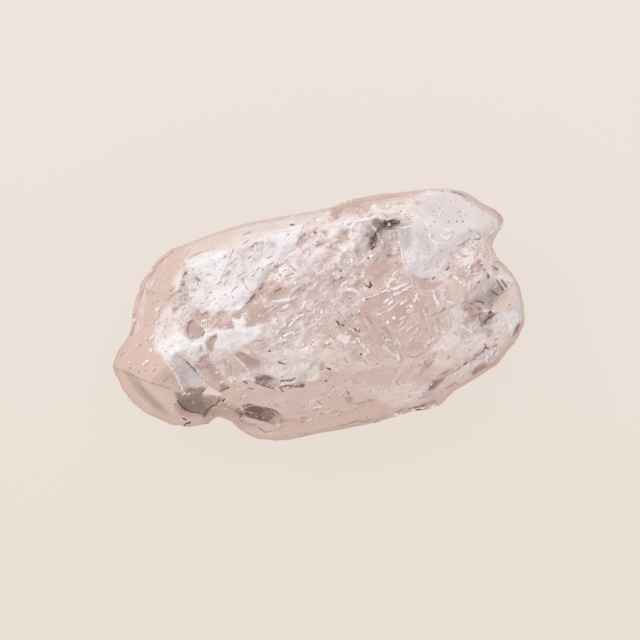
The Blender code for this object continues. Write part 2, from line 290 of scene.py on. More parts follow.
# Patches in the order in which they lie over each other: the finish, how much of it, the softness
# of the edge and the height that it stands up or sinks, both in mm, and the outline on the plan
patches = [
    # the broken middle of the top
    ("streaky", 0.9, 0.35, 0, [(-12.6, 0.3), (-11.4, 2.6), (-9.6, 3.8), (-9, 5), (-8.9, 6.2), (-5, 7),
     (2, 7), (6, 7), (9, 7.3), (12, 6.9), (14.5, 4.7), (14.6, 3), (13.8, 2.2), (14.3, 0.5), (15, -0.8),
     (15, -3.5), (13.6, -4.8), (11.6, -6.4), (9, -6.2), (7, -5), (3.5, -4.7), (0, -4.4), (-3, -4.8),
     (-4.3, -4.4), (-6, -3.7), (-9.6, -3.4), (-11.3, -3.3), (-12, -0.6)]),
    # clear face and tip
    ("rosy", 0.55, 0.3, 0, [(-12.9, 5), (-10.3, 6.9), (-8.3, 7.3), (-8.6, 6.5), (-9.2, 5.2), (-10, 4.4),
     (-11, 3.2), (-12, 2.4), (-12.6, 1.4), (-13.2, 0.9), (-14, 1.5), (-13.8, 3.2)]),
    ("pale", 0.45, 0.1, 0, [(-13.9, 1.3), (-13.4, 2), (-12.9, 2.9), (-12.4, 4.2), (-11.9, 5.2), (-12.2, 5.2),
     (-12.9, 4), (-13.4, 2.6), (-14, 1.6)]),
    ("pale", 0.35, 0.1, 0, [(-9.5, 5.8), (-8.3, 7.1), (-8.1, 7.1), (-9.2, 5.7)]),
    ("pale", 0.4, 0.12, 0, [(-10.2, 4.9), (-9.2, 5.7), (-9, 5.2), (-10, 4.4), (-10.3, 4.5)]),
    ("silk", 0.9, 0.12, 0, [(-16, -0.3), (-15.3, 0.5), (-14.3, 1.6), (-13.2, 0.9), (-12.3, -0.4), (-12, -1),
     (-11.5, -2.4), (-11.3, -3.3), (-11.9, -3.2), (-13, -2.5), (-15.3, -0.9)]),
    ("silk", 0.9, 0.12, 0, [(-16.1, -0.8), (-15.3, -0.95), (-14.6, -1.4), (-12.1, -2.95), (-11.9, -3.9),
     (-11.5, -4.7), (-10.2, -5.4), (-10.6, -6.3), (-12.5, -6), (-15, -4), (-15.9, -2.4)]),
    ("ivory", 0.3, 0.25, 0, [(-13.9, -2.2), (-12.3, -3.1), (-12, -3.9), (-12, -4.9), (-12.9, -4.4)]),
    # painted shade: the dark crescent on the facet below the tip's ridge, grey with a brown streak along it
    ("grey", 0.45, 0.15, -0.05, [(-15.3, -0.9), (-14.8, -1.1), (-14.25, -1.75), (-13.7, -2.9), (-13.2, -3.8),
     (-12.75, -4.7), (-12.95, -4.9), (-13.6, -4.2), (-14.4, -3.1), (-14.95, -2.1)]),
    ("brown", 0.22, 0.15, 0, [(-14.5, -2), (-14.15, -2.3), (-13.7, -3.3), (-13.2, -4.1), (-13.6, -3.9),
     (-14.1, -3)]),
    ("blush", 0.6, 0.12, 0, [(-15.9, -1), (-15.3, -1.3), (-15, -2.3), (-14.4, -3.4), (-13.5, -4.4),
     (-12.6, -5.3), (-11.5, -5.8), (-11.6, -6.2), (-13, -5.6), (-14.7, -4.2), (-15.6, -2.8)]),
    # band along the back edge
    ("sand", 0.8, 0.15, 0, [(-9, 6.3), (-6.9, 6.55), (-4.9, 6.35), (-4.6, 7), (-4.9, 7.75), (-7, 7.6),
     (-8.6, 7.3)]),
    ("lilac", 0.8, 0.5, 0, [(-4.9, 7), (-2.2, 7.05), (0.4, 7), (2.2, 7), (2.2, 7.7), (-1, 7.8),
     (-4.9, 7.85)]),
    ("frosted", 0.8, 0.08, 0, [(-1.5, 7.42), (0.1, 7.3), (0.2, 7.2), (-1.45, 7.2)]),
    ("white", 0.9, 0.05, 0.05, [(-0.7, 7.7), (-0.4, 7.72), (-0.1, 7.62), (-0.35, 7.5)]),
    ("white", 0.9, 0.05, 0.05, [(1.15, 7.65), (1.5, 7.6), (1.85, 7.45), (1.55, 7.42), (1.2, 7.52)]),
    ("white", 1, 0.05, 0.05, [(2.05, 7.3), (2.2, 7.4), (2.5, 7.35), (2.45, 7.2), (2.15, 7.18)]),
    # the white patch and its brighter parts
    ("frosted", 0.95, 0.22, 0.1, [(-9, 6.2), (-7.2, 6.45), (-5.3, 6.2), (-4.9, 6.8), (-3.3, 6.9), (0.5, 6.9),
     (0, 6.1), (-0.6, 5.3), (-1.6, 4.8), (-2.6, 4.2), (-3.6, 3.3), (-4.3, 2.7), (-4.8, 2.2), (-5.4, 1.8),
     (-6.4, 1.5), (-6.9, 2), (-7.6, 1.5), (-8.5, 2), (-8.9, 3), (-9.4, 3.9), (-8.9, 5)]),
    ("white", 0.85, 0.1, 0, [(-8.8, 6), (-7.2, 6.35), (-5.6, 6.05), (-6.2, 4.9), (-6.8, 4), (-7.5, 4),
     (-8.3, 5.2)]),
    ("white", 0.85, 0.12, 0, [(0.4, 6.9), (-1, 6.9), (-3, 6.6), (-3.6, 6.3), (-2.2, 6.2), (-1.9, 5.5),
     (-2.6, 5), (-3.4, 4.5), (-1.9, 4.7), (-0.7, 5.3), (-0.1, 6.2)]),
    ("white", 0.75, 0.2, 0, [(-6.8, 3.7), (-5, 3.4), (-4, 3.2), (-5.2, 1.9), (-6.4, 1.5), (-6.9, 2.1),
     (-7.6, 1.7), (-8.4, 2.1), (-8.2, 3.1)]),
    ("white", 0.7, 0.15, 0, [(-3, 4.5), (-2, 4.3), (-0.8, 4.9), (-2.4, 4.95), (-4, 4.6), (-4.2, 4.3)]),
    ("mist", 0.25, 0.2, 0, [(-5.7, 5.1), (-5.2, 5.5), (-3.6, 6.4), (-2.2, 6.6), (-1.7, 6.1), (-3, 5.2),
     (-4.6, 4.3), (-5.4, 4.2)]),
    ("streaky", 0.6, 0.2, -0.05, [(-8.4, 4.9), (-7.8, 4.4), (-7.6, 3.8), (-8.4, 3.5), (-9.2, 3.4),
     (-9, 4.4)]),
    ("pale", 0.85, 0.2, 0, [(-10.3, 3.5), (-10, 4.7), (-9.4, 5.4), (-8.9, 5), (-9.1, 4.2), (-9.2, 3.4)]),
    # the second pale arc and the clear bay beside it
    ("frosted", 0.8, 0.2, 0.08, [(-12.4, 0.4), (-11.9, 1.3), (-11.3, 2.2), (-10.4, 2.7), (-9.8, 3.2),
     (-10.1, 3.4), (-11.2, 2.9), (-12, 2), (-12.5, 1.2)]),
    ("pale", 0.7, 0.2, 0, [(-11.7, 1), (-10.3, 0.9), (-10, 1.6), (-10.4, 2.4), (-11.2, 2)]),
    ("rosy", 0.9, 0.1, -0.25, [(-9.9, 0.7), (-9.7, 0.4), (-9.3, 0.25), (-8.9, 0.35), (-8.6, 0.7),
     (-8.9, 1.2), (-9.2, 1.7), (-9.6, 1.5), (-9.8, 1.1)]),
    ("rosy", 0.7, 0.12, -0.1, [(-9, 2.4), (-8.6, 2), (-8.3, 1.6), (-7.7, 1.6), (-6.9, 1.95), (-6.6, 1.5),
     (-5.6, 1.5), (-4.9, 2.2), (-4.2, 2.6), (-3.9, 1.9), (-3.8, 1.1), (-3.6, 0.3), (-5.2, 0.3), (-7, 0.5),
     (-8.4, 0.75), (-8.9, 1.3), (-9, 1.8)]),
    ("rosy", 0.75, 0.08, -0.1, [(-4.1, 2.8), (-3.6, 3.15), (-2.5, 3), (-2.1, 2.1), (-2.9, 1.75), (-3.8, 2)]),
    ("deep", 0.35, 0.08, 0, [(-4, 2.6), (-3.4, 3), (-3.1, 2.6), (-3.1, 1.9), (-3.8, 2)]),
    ("pale", 0.6, 0.08, 0.06, [(-2.4, 3), (-1.2, 3.2), (-0.7, 2.9), (-0.35, 2.4), (-1.1, 2.1), (-2, 2.1)]),
    ("white", 0.95, 0.06, 0.2, [(-6.5, 1.25), (-6.3, 1.3), (-6, 1), (-5.75, 1.05), (-5.6, 1.2), (-5.5, 1.1),
     (-5.3, 0.55), (-5.7, 0.35), (-6.3, 0.25), (-6.4, 0.7)]),
    # the white ledge across the front
    ("white", 1, 0.24, 0.25, [(-12.6, 0), (-12, 0.5), (-11, 0.9), (-10.2, 0.85), (-9.9, 0.45), (-9.4, 0.25),
     (-9, 0.3), (-8.6, 0.6), (-7.7, 0.7), (-7, 0.45), (-6.2, 0.3), (-5, 0.3), (-3.8, 0.2), (-4.4, -0.1),
     (-4.3, -0.4), (-4.9, -0.65), (-5.6, -0.9), (-6.3, -0.9), (-6.9, -1.2), (-7.3, -0.95), (-7.9, -1),
     (-8.2, -0.6), (-7.9, -0.2), (-7.7, 0.2), (-8.4, 0.1), (-8.7, -0.1), (-8.7, -0.9), (-8.95, -0.9),
     (-9.05, -0.3), (-9.4, -0.6), (-10.1, -0.9), (-10.3, -0.5), (-11, -0.45), (-11.6, -0.7), (-11.95, -0.8),
     (-12.1, -0.3)]),
    ("deep", 0.5, 0.06, -0.2, [(-8.65, -0.1), (-8.3, 0.05), (-7.8, 0.2), (-7.78, 0), (-8.1, -0.4),
     (-8.35, -0.95), (-8.62, -0.85)]),
    ("deep", 0.5, 0.05, -0.1, [(-9.35, -0.7), (-9.1, -0.3), (-9.02, -0.35), (-9.08, -0.85)]),
    ("frosted", 0.7, 0.2, 0.1, [(-4.4, 0.1), (-3.7, 0.15), (-2.6, 0.4), (-1.8, 0.8), (-2.6, 0.1),
     (-3.2, -0.5), (-4, -1.5), (-4.3, -0.9), (-4.1, -0.2)]),
    # the fluted face under the ledge
    ("mist", 0.9, 0.08, -0.05, [(-11.5, -0.75), (-10.9, -0.5), (-10.5, -1), (-10, -2), (-9.5, -2.9),
     (-9.6, -3.2), (-11.2, -3.1), (-11.25, -2.2)]),
    ("lilac", 0.95, 0.12, 0, [(-11.1, -3), (-11, -2.2), (-10.3, -1.9), (-9.9, -2.4), (-9.7, -3),
     (-10.2, -2.9)]),
    ("rosy", 0.8, 0.08, 0.06, [(-9.9, -1.7), (-9.4, -1.1), (-8.8, -1), (-8.7, -1.6), (-8.35, -2.3),
     (-8.1, -3), (-8.1, -3.4), (-8.5, -3.9), (-9, -3.3), (-9.5, -2.4)]),
    ("deep", 0.45, 0.2, 0, [(-9.2, -2), (-8.7, -1.9), (-8.3, -2.6), (-8.2, -3.2), (-8.7, -3.3)]),
    ("pale", 0.75, 0.06, 0.05, [(-8.75, -1), (-8, -0.95), (-7.8, -1.4), (-7.6, -2.4), (-7.4, -3.05),
     (-7.9, -3.1), (-8.25, -2.4), (-8.6, -1.8)]),
    ("rosy", 0.6, 0.08, -0.05, [(-7.75, -1.7), (-7.35, -2.1), (-7.35, -2.9), (-7.8, -3), (-7.9, -2.4)]),
    ("flesh", 0.9, 0.06, 0.12, [(-7.3, -1.3), (-6.85, -1.35), (-6.5, -1.9), (-6.05, -3.05), (-7.2, -3.05),
     (-7.35, -2.2)]),
    ("deep", 0.75, 0.08, -0.12, [(-6.8, -1.5), (-6.3, -1.35), (-5.7, -1.9), (-5.3, -2.1), (-5.15, -2.5),
     (-5.5, -2.8), (-6, -2.7), (-6.4, -2.1)]),
    ("rosy", 0.5, 0.1, 0, [(-6, -1), (-4.7, -0.7), (-4.3, -1.3), (-4.4, -1.9), (-5.2, -2), (-5.6, -1.6)]),
    ("frosted", 0.9, 0.1, 0.08, [(-6.1, -3.1), (-5.6, -2.75), (-5.1, -2.7), (-4.9, -3.2), (-5.1, -3.45),
     (-5.9, -3.45)]),
    ("pale", 0.9, 0.1, 0.1, [(-5.1, -3.3), (-4.7, -2.3), (-4.3, -2), (-3.9, -1.9), (-2.7, -2), (-2.3, -2.7),
     (-1.9, -3.2), (-2, -3.9), (-2.6, -4.25), (-4.1, -4), (-4.6, -3.7)]),
    ("frosted", 0.7, 0.12, 0, [(-3.75, -2), (-3, -2.05), (-2.9, -2.7), (-3.3, -2.9), (-3.7, -2.6)]),
    # facets at the foot of the pointed end
    # painted shade: this facet is coloured grey for the darker tone that it shows as it turns from the light
    ("grey", 0.95, 0.05, -0.15, [(-11.85, -3.95), (-11.78, -3.3), (-11.3, -3.5), (-10.9, -3.2),
     (-9.65, -3.35), (-9.85, -3.85), (-9.8, -4.4), (-10, -5.2), (-10.4, -5.25), (-11.1, -4.98),
     (-11.5, -4.65)]),
    ("beige", 0.95, 0.05, -0.05, [(-9.95, -3.95), (-9.3, -4.1), (-8.7, -4.3), (-8.45, -4.6), (-9.4, -4.95),
     (-10, -5.15)]),
    ("beige", 0.9, 0.05, 0, [(-9.75, -5.3), (-9.2, -4.98), (-8.6, -4.85), (-8.3, -5), (-7.6, -5.7),
     (-7.3, -6), (-7.9, -6.35), (-9, -5.95), (-9.6, -5.85)]),
    ("ivory", 0.95, 0.05, 0.1, [(-9.85, -4), (-9.8, -3.75), (-9.3, -3.35), (-9, -3.6), (-8.6, -4),
     (-8.3, -4.3), (-8.8, -4.3), (-9.3, -4.05)]),
    ("ivory", 0.6, 0.1, 0, [(-8.4, -4.6), (-8.1, -5.1), (-7.6, -5.5), (-7.2, -5.5), (-7.6, -4.9),
     (-8.2, -4.4)]),
    ("brown", 0.5, 0.05, -0.1, [(-8.38, -3.47), (-8.17, -3.47), (-7.98, -3.61), (-7.73, -3.71),
     (-7.82, -3.84), (-8.17, -3.98), (-8.44, -3.95), (-8.52, -3.82)]),
    ("blush", 0.6, 0.08, 0, [(-8.51, -4.15), (-7.81, -3.81), (-7.28, -3.58), (-6.88, -3.99), (-6.42, -4.58),
     (-6.52, -4.78), (-7.64, -4.98), (-8.3, -4.57)]),
    # stained clefts along the front
    ("olive", 0.62, 0.05, -0.12, [(-5.73, -3.45), (-5.37, -3.51), (-5.04, -3.47), (-4.79, -3.57),
     (-4.45, -3.84), (-4.43, -4.01), (-4.78, -4), (-5.14, -3.9), (-5.45, -3.87), (-5.69, -3.73)]),
    ("brown", 0.3, 0.06, 0, [(-5.1, -3.5), (-4.8, -3.58), (-4.48, -3.84), (-4.46, -3.99), (-4.76, -3.9),
     (-4.99, -3.71)]),
    ("sand", 0.9, 0.05, 0, [(-4.98, -3.93), (-4.46, -4), (-4.22, -4.37), (-4.11, -4.73), (-4.38, -4.86),
     (-4.62, -4.49), (-4.91, -4.11)]),
    ("mist", 0.6, 0.2, -0.1, [(-3.9, -4.4), (-2.8, -4.4), (-2.2, -4.5), (-2.4, -4.9), (-3.3, -4.8)]),
    ("cream", 0.95, 0.06, 0.12, [(-2.05, -4.55), (-1.9, -4.15), (-1.1, -3.95), (-0.95, -4.1), (-1.15, -4.5),
     (-1.6, -4.65)]),
    ("olive", 0.5, 0.12, -0.05, [(-1, -3.6), (-0.5, -3.4), (-0.45, -3.9), (-0.9, -4.05)]),
    ("cream", 1, 0.05, 0.15, [(-0.5, -3.6), (-0.1, -3.5), (0, -3.9), (0.5, -4.1), (0.55, -4.4), (0.1, -4.25),
     (-0.3, -3.9)]),
    ("white", 1, 0.05, 0.12, [(0.6, -4.2), (0.65, -4.05), (0.85, -4.1), (0.8, -4.3)]),
    ("cream", 0.5, 0.05, 0.1, [(-7.47, -5.67), (-6.96, -5.54), (-6.46, -5.48), (-6.05, -5.57), (-5.7, -5.72),
     (-5.56, -5.93), (-5.72, -5.81), (-6.07, -5.66), (-6.47, -5.54), (-6.98, -5.63), (-7.38, -5.77)]),
    ("brown", 0.72, 0.04, -0.2, [(-7.06, -5.66), (-6.63, -5.55), (-6.37, -5.55), (-6.07, -5.66),
     (-5.82, -5.75), (-5.67, -5.93), (-5.89, -6.21), (-5.92, -6.44), (-6.22, -6.34), (-6.5, -6.14),
     (-6.77, -5.92), (-7.06, -5.74)]),
    ("brown", 0.25, 0.04, -0.1, [(-7.39, -5.77), (-7.07, -5.68), (-6.77, -5.91), (-7, -6), (-7.34, -6.02)]),
    ("olive", 0.75, 0.05, -0.15, [(-5.67, -5.93), (-5.48, -6.19), (-5.33, -6.49), (-5.19, -6.7),
     (-5.49, -6.73), (-5.73, -6.56), (-5.92, -6.44), (-5.91, -6.2)]),
    ("olive", 0.45, 0.08, 0, [(-5.33, -6.49), (-5.15, -6.62), (-4.82, -6.61), (-4.43, -6.67), (-4.42, -6.76),
     (-4.89, -6.81), (-5.24, -6.92), (-5.49, -6.73)]),
    ("mist", 0.5, 0.2, 0, [(-6.42, -6.79), (-5.6, -6.97), (-4.93, -6.85), (-4.91, -7.23), (-5.62, -7.56),
     (-6.06, -7.57), (-6.41, -7.22)]),
    ("deep", 0.35, 0.12, 0, [(-6.5, -7.1), (-5.3, -7), (-4.8, -7.3), (-5.9, -7.6)]),
    # the smooth band along the front edge
    ("blush", 0.85, 0.35, 0, [(-7.4, -7.2), (-4, -7.5), (0, -7.7), (3, -7.2), (4.6, -8), (2, -8.45),
     (-5, -8.45), (-6.8, -7.9)]),
    ("rosy", 0.5, 0.3, 0, [(-2, -4.8), (0, -4.6), (3.5, -4.6), (4.5, -4.9), (3, -5.4), (-2, -5.4)]),
    ("rosy", 0.5, 0.3, 0, [(5, -5.7), (6.6, -5.9), (6.4, -6.3), (5.2, -6.2)]),
    ("grey", 0.6, 0.06, 0, [(0.4, -6.3), (0.85, -6.4), (1.05, -6.6), (0.95, -6.95), (0.65, -6.9),
     (0.5, -6.6)]),
    ("frosted", 0.7, 0.06, 0.03, [(3.9, -6.75), (3.9, -6.6), (4.5, -6.4), (4.6, -6.45), (4.3, -6.65)]),
    ("pale", 0.6, 0.3, 0, [(1.6, -5.9), (3.4, -6.3), (4.9, -6.3), (6.9, -6.7), (6.5, -7.6), (3.6, -7.7),
     (2.2, -6.6)]),
    # the back edge beyond the middle
    ("deep", 0.75, 0.08, 0.05, [(2.35, 7.05), (2.6, 7.5), (3.4, 7.72), (5.1, 7.8), (5.3, 7.55), (4.4, 7.35),
     (3.4, 7.3), (3.2, 7), (2.75, 6.7)]),
    ("rosy", 0.5, 0.1, 0, [(3.3, 7.3), (5.3, 7.5), (5.2, 6.8), (4.4, 6.5), (3.6, 6.8)]),
    ("deep", 0.7, 0.08, -0.04, [(5.3, 7.6), (7.5, 7.5), (9.3, 7.32), (9.3, 7.22), (7.5, 7.4), (5.3, 7.45)]),
    ("white", 0.95, 0.05, 0.12, [(3.3, 6.35), (3.9, 6.22), (4.8, 6.1), (5.4, 6.1), (5.85, 6.35), (5.3, 6.3),
     (4.6, 6.3), (3.9, 6.45)]),
    ("white", 0.9, 0.08, 0.1, [(5.45, 7.2), (5.85, 7.1), (5.95, 6.6), (5.6, 6.55), (5.5, 6.9)]),
    ("white", 0.9, 0.06, 0.08, [(5.85, 6.3), (6.05, 6.2), (6, 5.6), (5.85, 5.6)]),
    # the middle of the top
    ("rosy", 0.8, 0.4, 0, [(2.6, -0.6), (4, 0.9), (7.4, 1.3), (8.9, 0.3), (8.6, -3.6), (7.2, -4.8),
     (3, -4.5), (1.9, -2.6)]),
    ("rosy", 0.3, 0.4, 0, [(-1.5, -2.4), (0.4, -0.6), (2.8, -0.4), (3, -4.5), (-0.6, -4.2)]),
    ("frosted", 0.6, 0.3, 0.05, [(-1.2, 4.4), (0.1, 5.4), (0.8, 5.1), (2.2, 4.3), (1.9, 3.9), (0.6, 3.4),
     (-0.8, 3.3)]),
    ("rosy", 0.6, 0.2, -0.05, [(2.1, 4.8), (2.5, 5.6), (2.9, 6), (3.4, 5.7), (3.3, 4.9), (2.8, 4.65)]),
    ("white", 1, 0.04, 0.12, [(2.2, 4.72), (2.9, 4.6), (3.4, 4.66), (3, 4.4), (2.85, 4.15), (2.5, 4.35)]),
    ("white", 0.8, 0.07, 0.06, [(2.15, 5.85), (2.35, 6), (2.6, 5.7), (2.4, 5.45), (2.2, 5.6)]),
    ("white", 0.8, 0.06, 0.05, [(0, 5.2), (0.6, 5.2), (0.75, 5.05), (0.5, 4.9), (0.1, 5)]),
    ("rosy", 0.7, 0.3, -0.05, [(4.2, 1.1), (4.1, 2.2), (4.9, 3.1), (6.7, 3.1), (6.8, 1.7), (5.9, 1),
     (5, 0.9)]),
    ("deep", 0.4, 0.15, 0, [(4.3, 2.2), (5, 2.3), (5.4, 1.8), (4.8, 1.7), (4.4, 1.9)]),
    ("white", 0.9, 0.05, 0.1, [(2.1, 1.4), (2.5, 1.5), (2.95, 1.3), (3.2, 0.9), (2.9, 1.05), (2.5, 1.2)]),
    ("rosy", 0.75, 0.08, -0.1, [(2, 1.1), (2.6, 1.15), (3, 0.8), (2.9, 0.3), (2.3, 0.2), (2, 0.6)]),
    ("rosy", 0.5, 0.1, 0, [(1.2, 1.4), (1.6, 1.6), (1.7, 1.1), (1.3, 1)]),
    # grey veils beside the pale face
    ("grey", 0.3, 0.4, 0, [(3.8, 5.1), (5.3, 5.8), (7.4, 5.6), (7.2, 4.3), (6.1, 3.2), (4.7, 3.1),
     (3.7, 4)]),
    ("grey", 0.75, 0.2, -0.05, [(4.6, 5.75), (5.4, 5.9), (7.2, 5.65), (7.3, 5.25), (6.5, 4.9), (5.9, 4.85),
     (5.4, 4.35), (4.9, 3.9), (4.7, 4.1), (5, 4.8), (4.85, 5.2)]),
    ("smoke", 0.55, 0.1, -0.1, [(5.7, 5.75), (6.3, 5.6), (7.05, 5.65), (7.2, 5.3), (6.45, 5.1), (5.8, 5.3)]),
    ("smoke", 0.45, 0.08, -0.1, [(4.75, 4.85), (5.5, 4.75), (5.2, 4.3), (4.7, 3.85), (4.6, 4.2)]),
    ("rosy", 0.55, 0.15, 0, [(6.6, 4.4), (6.8, 4.4), (6.85, 1.5), (6.6, 2.4)]),
    # the pale face at the broken end
    ("lilac", 0.95, 0.07, 0.15, [(6.9, 5), (7.5, 4.95), (8, 5), (8.6, 5.6), (9, 6.2), (9, 7), (11, 7),
     (12.5, 6.4), (13.6, 5.4), (14.4, 4.6), (14.5, 3.1), (12.7, 3.25), (12, 3.1), (11.4, 2.95), (11, 2.5),
     (10.5, 2.3), (10.1, 1.9), (9.7, 1.5), (9.4, 1.2), (9, 0.95), (8.6, 0.88), (8, 0.9), (7.5, 1.2),
     (7.2, 1.3), (6.9, 1.8), (6.88, 3.4)]),
    ("grey", 0.4, 0.2, 0, [(7, 4.95), (7.9, 4.9), (7.9, 4.2), (7.6, 3.4), (7.1, 3.3), (7, 4)]),
    ("frosted", 0.6, 0.25, 0, [(7, 3), (8, 3.1), (9.4, 2.3), (9.4, 1.4), (8.6, 1), (7.6, 1.3), (7, 1.9)]),
    ("mist", 0.4, 0.3, 0, [(8.2, 4.9), (9.4, 4.3), (9.2, 2.6), (8.3, 3.2), (8.1, 4)]),
    ("mist", 0.35, 0.3, 0, [(9.3, 6.6), (10.6, 6.5), (11.8, 6), (11.9, 4.2), (10.6, 4.6), (9.6, 5.6)]),
    ("white", 0.85, 0.07, 0.05, [(9.1, 7.2), (9.8, 7.4), (10.6, 7.3), (11.7, 7.05), (11.3, 6.95), (10.4, 7),
     (9.4, 7)]),
    ("deep", 0.45, 0.1, 0, [(11.7, 6.95), (12.4, 6.5), (13.1, 5.9), (13.8, 5.2), (14.7, 4.5), (14.5, 4.2),
     (13.7, 4.9), (13, 5.6), (12.2, 6.3)]),
    ("sand", 0.7, 0.2, 0, [(12.7, 3.3), (12.8, 3.9), (13.6, 3.9), (14.1, 3.5), (14, 3.1), (13.3, 3.1)]),
    # the broken end
    ("rosy", 0.6, 0.2, -0.1, [(7.1, 1.2), (7.7, 1), (8.6, 0.8), (8.9, 0.4), (8.5, -0.6), (7.8, -0.9),
     (7.2, 0)]),
    ("deep", 0.4, 0.12, 0, [(7.4, 1), (8.3, 0.8), (8.6, 0.1), (7.9, 0)]),
    ("rosy", 0.6, 0.12, -0.05, [(9.8, 1.6), (10.6, 2.1), (11.1, 1.7), (11.5, 1), (10.9, 0.8), (9.9, 1)]),
    ("pale", 0.6, 0.1, 0.05, [(11.6, 2.8), (12.9, 3), (14, 2.9), (13.6, 2.4), (12.9, 2.2), (11.8, 2.1)]),
    ("rosy", 0.7, 0.06, -0.1, [(12.9, 2.1), (13.4, 2.2), (13.35, 1.1), (12.9, 1.3)]),
    ("cream", 0.6, 0.05, 0.1, [(13.45, 2.35), (13.95, 2.4), (14, 1.1), (13.5, 1.08)]),
    ("grey", 0.65, 0.12, -0.1, [(13.3, 0.9), (13.6, 0.75), (13.8, 0.4), (13.3, 0.3)]),
    ("frosted", 0.8, 0.1, 0.1, [(13.2, 0), (14.2, 0), (14.8, -0.5), (14.2, -0.5), (13.5, -0.3)]),
    ("flesh", 0.8, 0.08, 0.05, [(9.6, 0.55), (10.8, 0.4), (11.05, -0.65), (10.2, -1.1), (9.45, -0.95)]),
    ("mist", 0.85, 0.12, -0.1, [(11.3, -1.6), (11.8, -0.8), (12.3, -0.3), (13.2, 0.2), (14.2, -0.7),
     (13.75, -1.3), (13.2, -1.7), (12.8, -2.1), (12.2, -2.25)]),
    ("grey", 0.4, 0.12, 0, [(11.75, -1.8), (12.3, -1), (13.2, -0.45), (14.2, -0.75), (13.75, -1.3),
     (13.2, -1.7), (12.8, -2.1), (12.2, -2.25)]),
    ("white", 0.85, 0.08, 0.1, [(13.15, -0.1), (14, 0), (14.85, -0.5), (14.35, -0.75), (13.75, -0.3)]),
    ("deep", 0.7, 0.08, -0.05, [(10.3, -2.65), (11.15, -2.35), (11.45, -2.65), (11.05, -3), (10.35, -3.1)]),
    ("pale", 0.5, 0.15, 0, [(9.1, -2.4), (10.1, -3), (11, -3.9), (10.1, -4.9), (8.65, -5.1), (8.6, -3.4)]),
    ("pale", 0.9, 0.1, 0.05, [(11.8, -3.4), (12.35, -2.9), (12.8, -2.4), (13.25, -2.7), (13.65, -3.3),
     (13.6, -4.25), (12.75, -4.1)]),
    ("ivory", 0.95, 0.06, 0.1, [(12.8, -2.4), (13.25, -1.7), (13.8, -1.3), (14.4, -1.2), (15, -1.2),
     (14.95, -1.75), (14.4, -2.3), (13.9, -2.9), (13.25, -2.7)]),
    ("lilac", 0.9, 0.08, 0, [(14.5, -1.75), (15.05, -1.9), (15.1, -3.2), (14.95, -3.7), (14.5, -3.7),
     (14.35, -2.9)]),
    ("white", 1, 0.05, 0.12, [(13.25, -2.65), (13.9, -2.95), (14.4, -2.5), (14.45, -3), (14.55, -3.6),
     (14, -4.2), (13.65, -4.65), (13.6, -4.1), (13.65, -3.3)]),
    # under the broken end
    ("ivory", 0.45, 0.3, 0, [(7.5, -5.2), (9.9, -4.6), (12.5, -4.2), (13.6, -4.8), (12.4, -6.3), (9.5, -7.2),
     (7, -6.6)]),
    ("pale", 0.5, 0.2, 0, [(8.6, -5), (10.5, -4.3), (12.4, -4.4), (11, -5.1), (9.4, -5.8)]),
    ("pale", 0.5, 0.2, 0.05, [(9, -1.8), (9.9, -2.1), (9.9, -3), (9.2, -3.1)]),
    ("frosted", 0.75, 0.1, 0.06, [(10, -6.05), (11.3, -5.45), (12.4, -5.3), (12.5, -5.6), (12.2, -6),
     (11.4, -6.3), (11, -6), (10.3, -6.15)]),
    ("rosy", 0.4, 0.2, 0, [(8.8, -5.6), (10.1, -5.1), (10.3, -5.5), (9.2, -6)]),
    ("pale", 0.6, 0.25, 0, [(3.7, -7.8), (6.6, -7.4), (8.9, -6.5), (10.4, -6.1), (8.3, -7.3), (5.7, -8.2)]),
    ("blush", 0.8, 0.12, 0, [(14.9, -3.7), (14.4, -4.3), (13.6, -4.8), (12.6, -5.2), (12.5, -5.9),
     (11.7, -6.45), (9.9, -7), (8.3, -7.5), (7.2, -7.9), (7.4, -8.5), (9.3, -7.7), (11.3, -7.1),
     (12.4, -6.6), (13.8, -5.5), (14.9, -4.2)]),
]


# Small patches strewn along the grain: facets on the broken middle and bands on the smooth front.
# Lengths and widths are in mm, and much is how much of its finish a patch takes on.
bands = {
    "seed": 8,
    "count": 90,
    "length": (0.8, 3.6),
    "width": (0.15, 0.5),
    "much": (0.2, 0.55),
    "area": [(-7.0, -6.8), (-4.0, -5.0), (3.0, -4.6), (9.0, -5.2), (12.5, -4.6), (14.0, -4.8), (11.0, -7.2),
             (7.5, -8.4), (-5.0, -8.6)],
    "finishes": ["rosy", "deep", "pale", "blush", "flesh", "frosted"],
    "leftAngle": 8,        # degrees that they lean on the left
    "rightAngle": 20,
    "turnsAt": 4,          # mm along the plan
}

facets = {
    "seed": 7,
    "count": 240,
    "length": (0.5, 1.8),
    "width": (0.25, 0.8),
    "much": (0.4, 0.9),
    "area": [(-12.0, 0.5), (-9.0, 4.0), (-2.0, 4.0), (1.0, 6.8), (6.4, 6.6), (7.0, 1.5), (9.5, 1.0),
             (13.2, 2.6), (13.8, -0.4), (12.6, -4.6), (9.5, -6.0), (6.6, -4.8), (0.5, -4.2), (-4.6, -3.2),
             (-10.5, -2.6)],
    "finishes": ["rosy", "rosy", "deep", "pale", "frosted", "white", "mist", "flesh", "lilac"],
}

loose = {
    "across": (-12, 14),      # where they are tried on the plan
    "up": (-9, 7),
    "lean": 15,               # degrees that they stray from the grain
    "corners": [(1, 0.2), (0.4, 1), (-0.8, 0.7), (-1, -0.4), (0.1, -1)],
    "stray": 0.3,             # how far a corner strays; both are shares of half the length and width
    "edge": (0.04, 0.12),
    "height": (-0.06, 0.06),
}


def bandAngle(x, y):
    return bands["leftAngle"] if x < bands["turnsAt"] else bands["rightAngle"]


